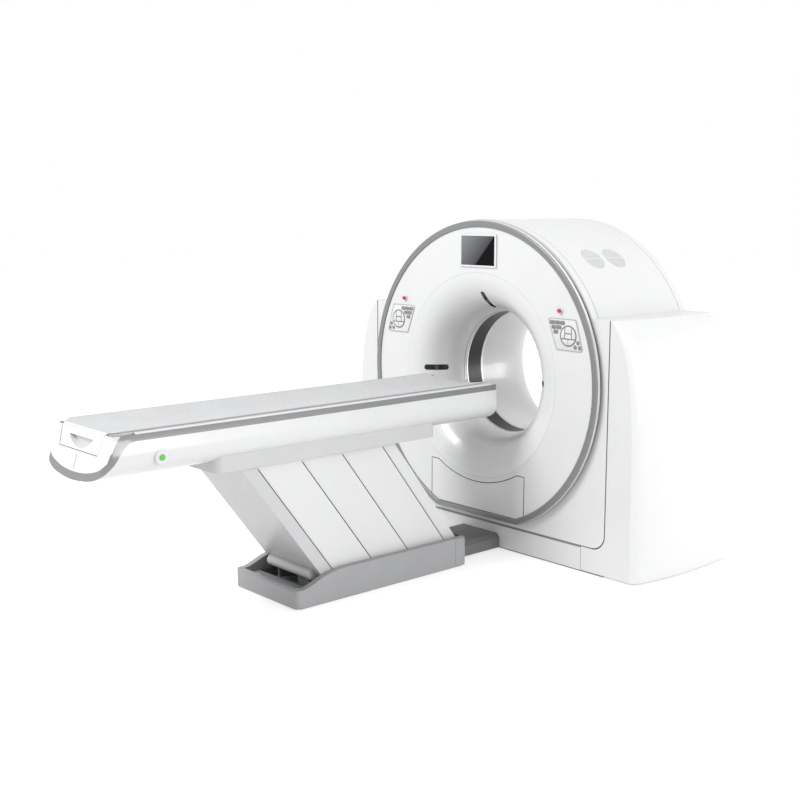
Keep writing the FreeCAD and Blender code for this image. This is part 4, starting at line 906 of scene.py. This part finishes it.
for y in (-0.029, 0.153):
    middle = made.verts.new(under_shell(tilt, y))
    edge = [made.verts.new(under_shell(tilt + p.x / head_r, y + p.y)) for p in circle(shade_sheet_r, 40)]
    for k in range(40):
        made.faces.new((middle, edge[k], edge[(k + 1) % 40]))
# The black discs under the grille slots are painted shade.
piece("grille_painted_shade_sheets", made, rubber, "root")
print("painted_shade_sheets: 2, radius", shade_sheet_r, "m")

# %% Rear cover screws and the base cap
rear_low, rear_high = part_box("rear_cover")
backward, screw_circle = Vector((0, 1, 0)), 0.50
screw = ((0.0095, 0), (0.0095, 0.0006), (0.0085, 0.0014),
         (0.0040, 0.0015), (0.0034, 0.0004), (0.0006, 0.0004))
places = []
for k in range(12):
    a = 2 * pi * (k + 0.5) / 12
    places.append((screw_circle * cos(a), scan_axis.z + screw_circle * sin(a)))
places += [(x, z) for x in (-0.86, 0.86) for z in (0.30, 0.75, 1.20)]
made = bmesh.new()
for x, z in places:
    turned_piece(made, screw, Vector((x, rear_high.y, z)), backward, 24)
piece("rear_cover_screws", made, finishes["frame_steel"], "root")
well_y, well_floor = -1.775, 0.070
cap = ((0.013, 0), (0.013, 0.004), (0.011, 0.0055), (0.0006, 0.0062))
made = bmesh.new()
for x in (-0.17, 0.17):
    turned_piece(made, cap, Vector((x, well_y, well_floor)), Vector((0, 0, 1)), 32)
piece("base_screw_caps", made, finishes["white_shell"], "root")
print("screws:", len(places), "caps: 2")

# %% [markdown]
# ## Room, camera and light
# The scanner stands in a bright studio: a pale floor that runs out to a white surround, one large soft
# light from the right, one high in front, a small one behind that shines into the opening, and the
# surround itself as fill. Soft and large lights keep the shading of the white covers gentle, so that
# their form is told by slow gradients instead of hard shadows.

# %% Floor
def pale_floor(size, step):
    made = bmesh.new()
    places = [-size / 2 + step * i for i in range(int(size / step) + 1)]
    sheet(made, [[made.verts.new((x, y, -0.0005)) for x in places] for y in places])
    mesh = bpy.data.meshes.new("floor")
    made.to_mesh(mesh)
    made.free()
    return bpy.data.objects.new("floor", mesh)


floor_finish, tree, main = shader("pale_floor")
where = own_coordinates(tree)
floor_tone = tones(tree, noise(tree, where, 0.7), (0.46, 0.46, 0.46), (0.48, 0.48, 0.48))
tree.links.new(floor_tone, main.inputs["Base Color"])
tree.links.new(between(tree, noise(tree, where, 3.0), 0.7, 0.8), main.inputs["Roughness"])
main.inputs["Emission Color"].default_value = (1, 1, 1, 1)
main.inputs["Emission Strength"].default_value = 0.56
main.inputs["Specular IOR Level"].default_value = 0.2
floor = pale_floor(60.0, 4.0)
floor.data.materials.append(floor_finish)
bpy.context.scene.collection.objects.link(floor)
print("floor:", len(floor.data.polygons), "squares")

# %% Camera
camera_data = bpy.data.cameras.new("camera")
camera_data.lens, camera_data.sensor_width = 53.34, 36.0
camera_data.clip_end = 100.0
camera = bpy.data.objects.new("camera", camera_data)
camera.location = (4.7865, -5.1691, 1.9541)
camera.rotation_euler = (radians(90 - 9.1769), 0, radians(48.4916))
bpy.context.scene.collection.objects.link(camera)
bpy.context.scene.camera = camera
print("camera:", round(camera.location.length, 2), "m from the middle of the scan plane's floor")

# %% Lights and surround
def soft_light(name, place, aim, size, power):
    """A large square light that looks at a point."""
    data = bpy.data.lights.new(name, "AREA")
    data.shape, data.size, data.energy = "SQUARE", size, power
    light = bpy.data.objects.new(name, data)
    light.location = place
    light.rotation_euler = (Vector(aim) - Vector(place)).to_track_quat("-Z", "Y").to_euler()
    bpy.context.scene.collection.objects.link(light)


soft_light("side_light", (8.0, 0.5, 3.0), (0.3, -0.8, 0.9), 3.0, 320)
soft_light("front_light", (-1.5, -6.8, 6.8), (0, -0.5, 1.0), 3.5, 700)
soft_light("back_light", (3.8, 5.0, 1.4), (-0.2, 0.3, 1.0), 2.0, 130)
surround = bpy.data.worlds.new("surround")
surround.use_nodes = True
surround.node_tree.nodes["Background"].inputs["Color"].default_value = (1, 1, 1, 1)
surround.node_tree.nodes["Background"].inputs["Strength"].default_value = 1.0
bpy.context.scene.world = surround
bpy.context.scene.view_settings.view_transform = "Standard"
print("lights:", len(bpy.data.lights))
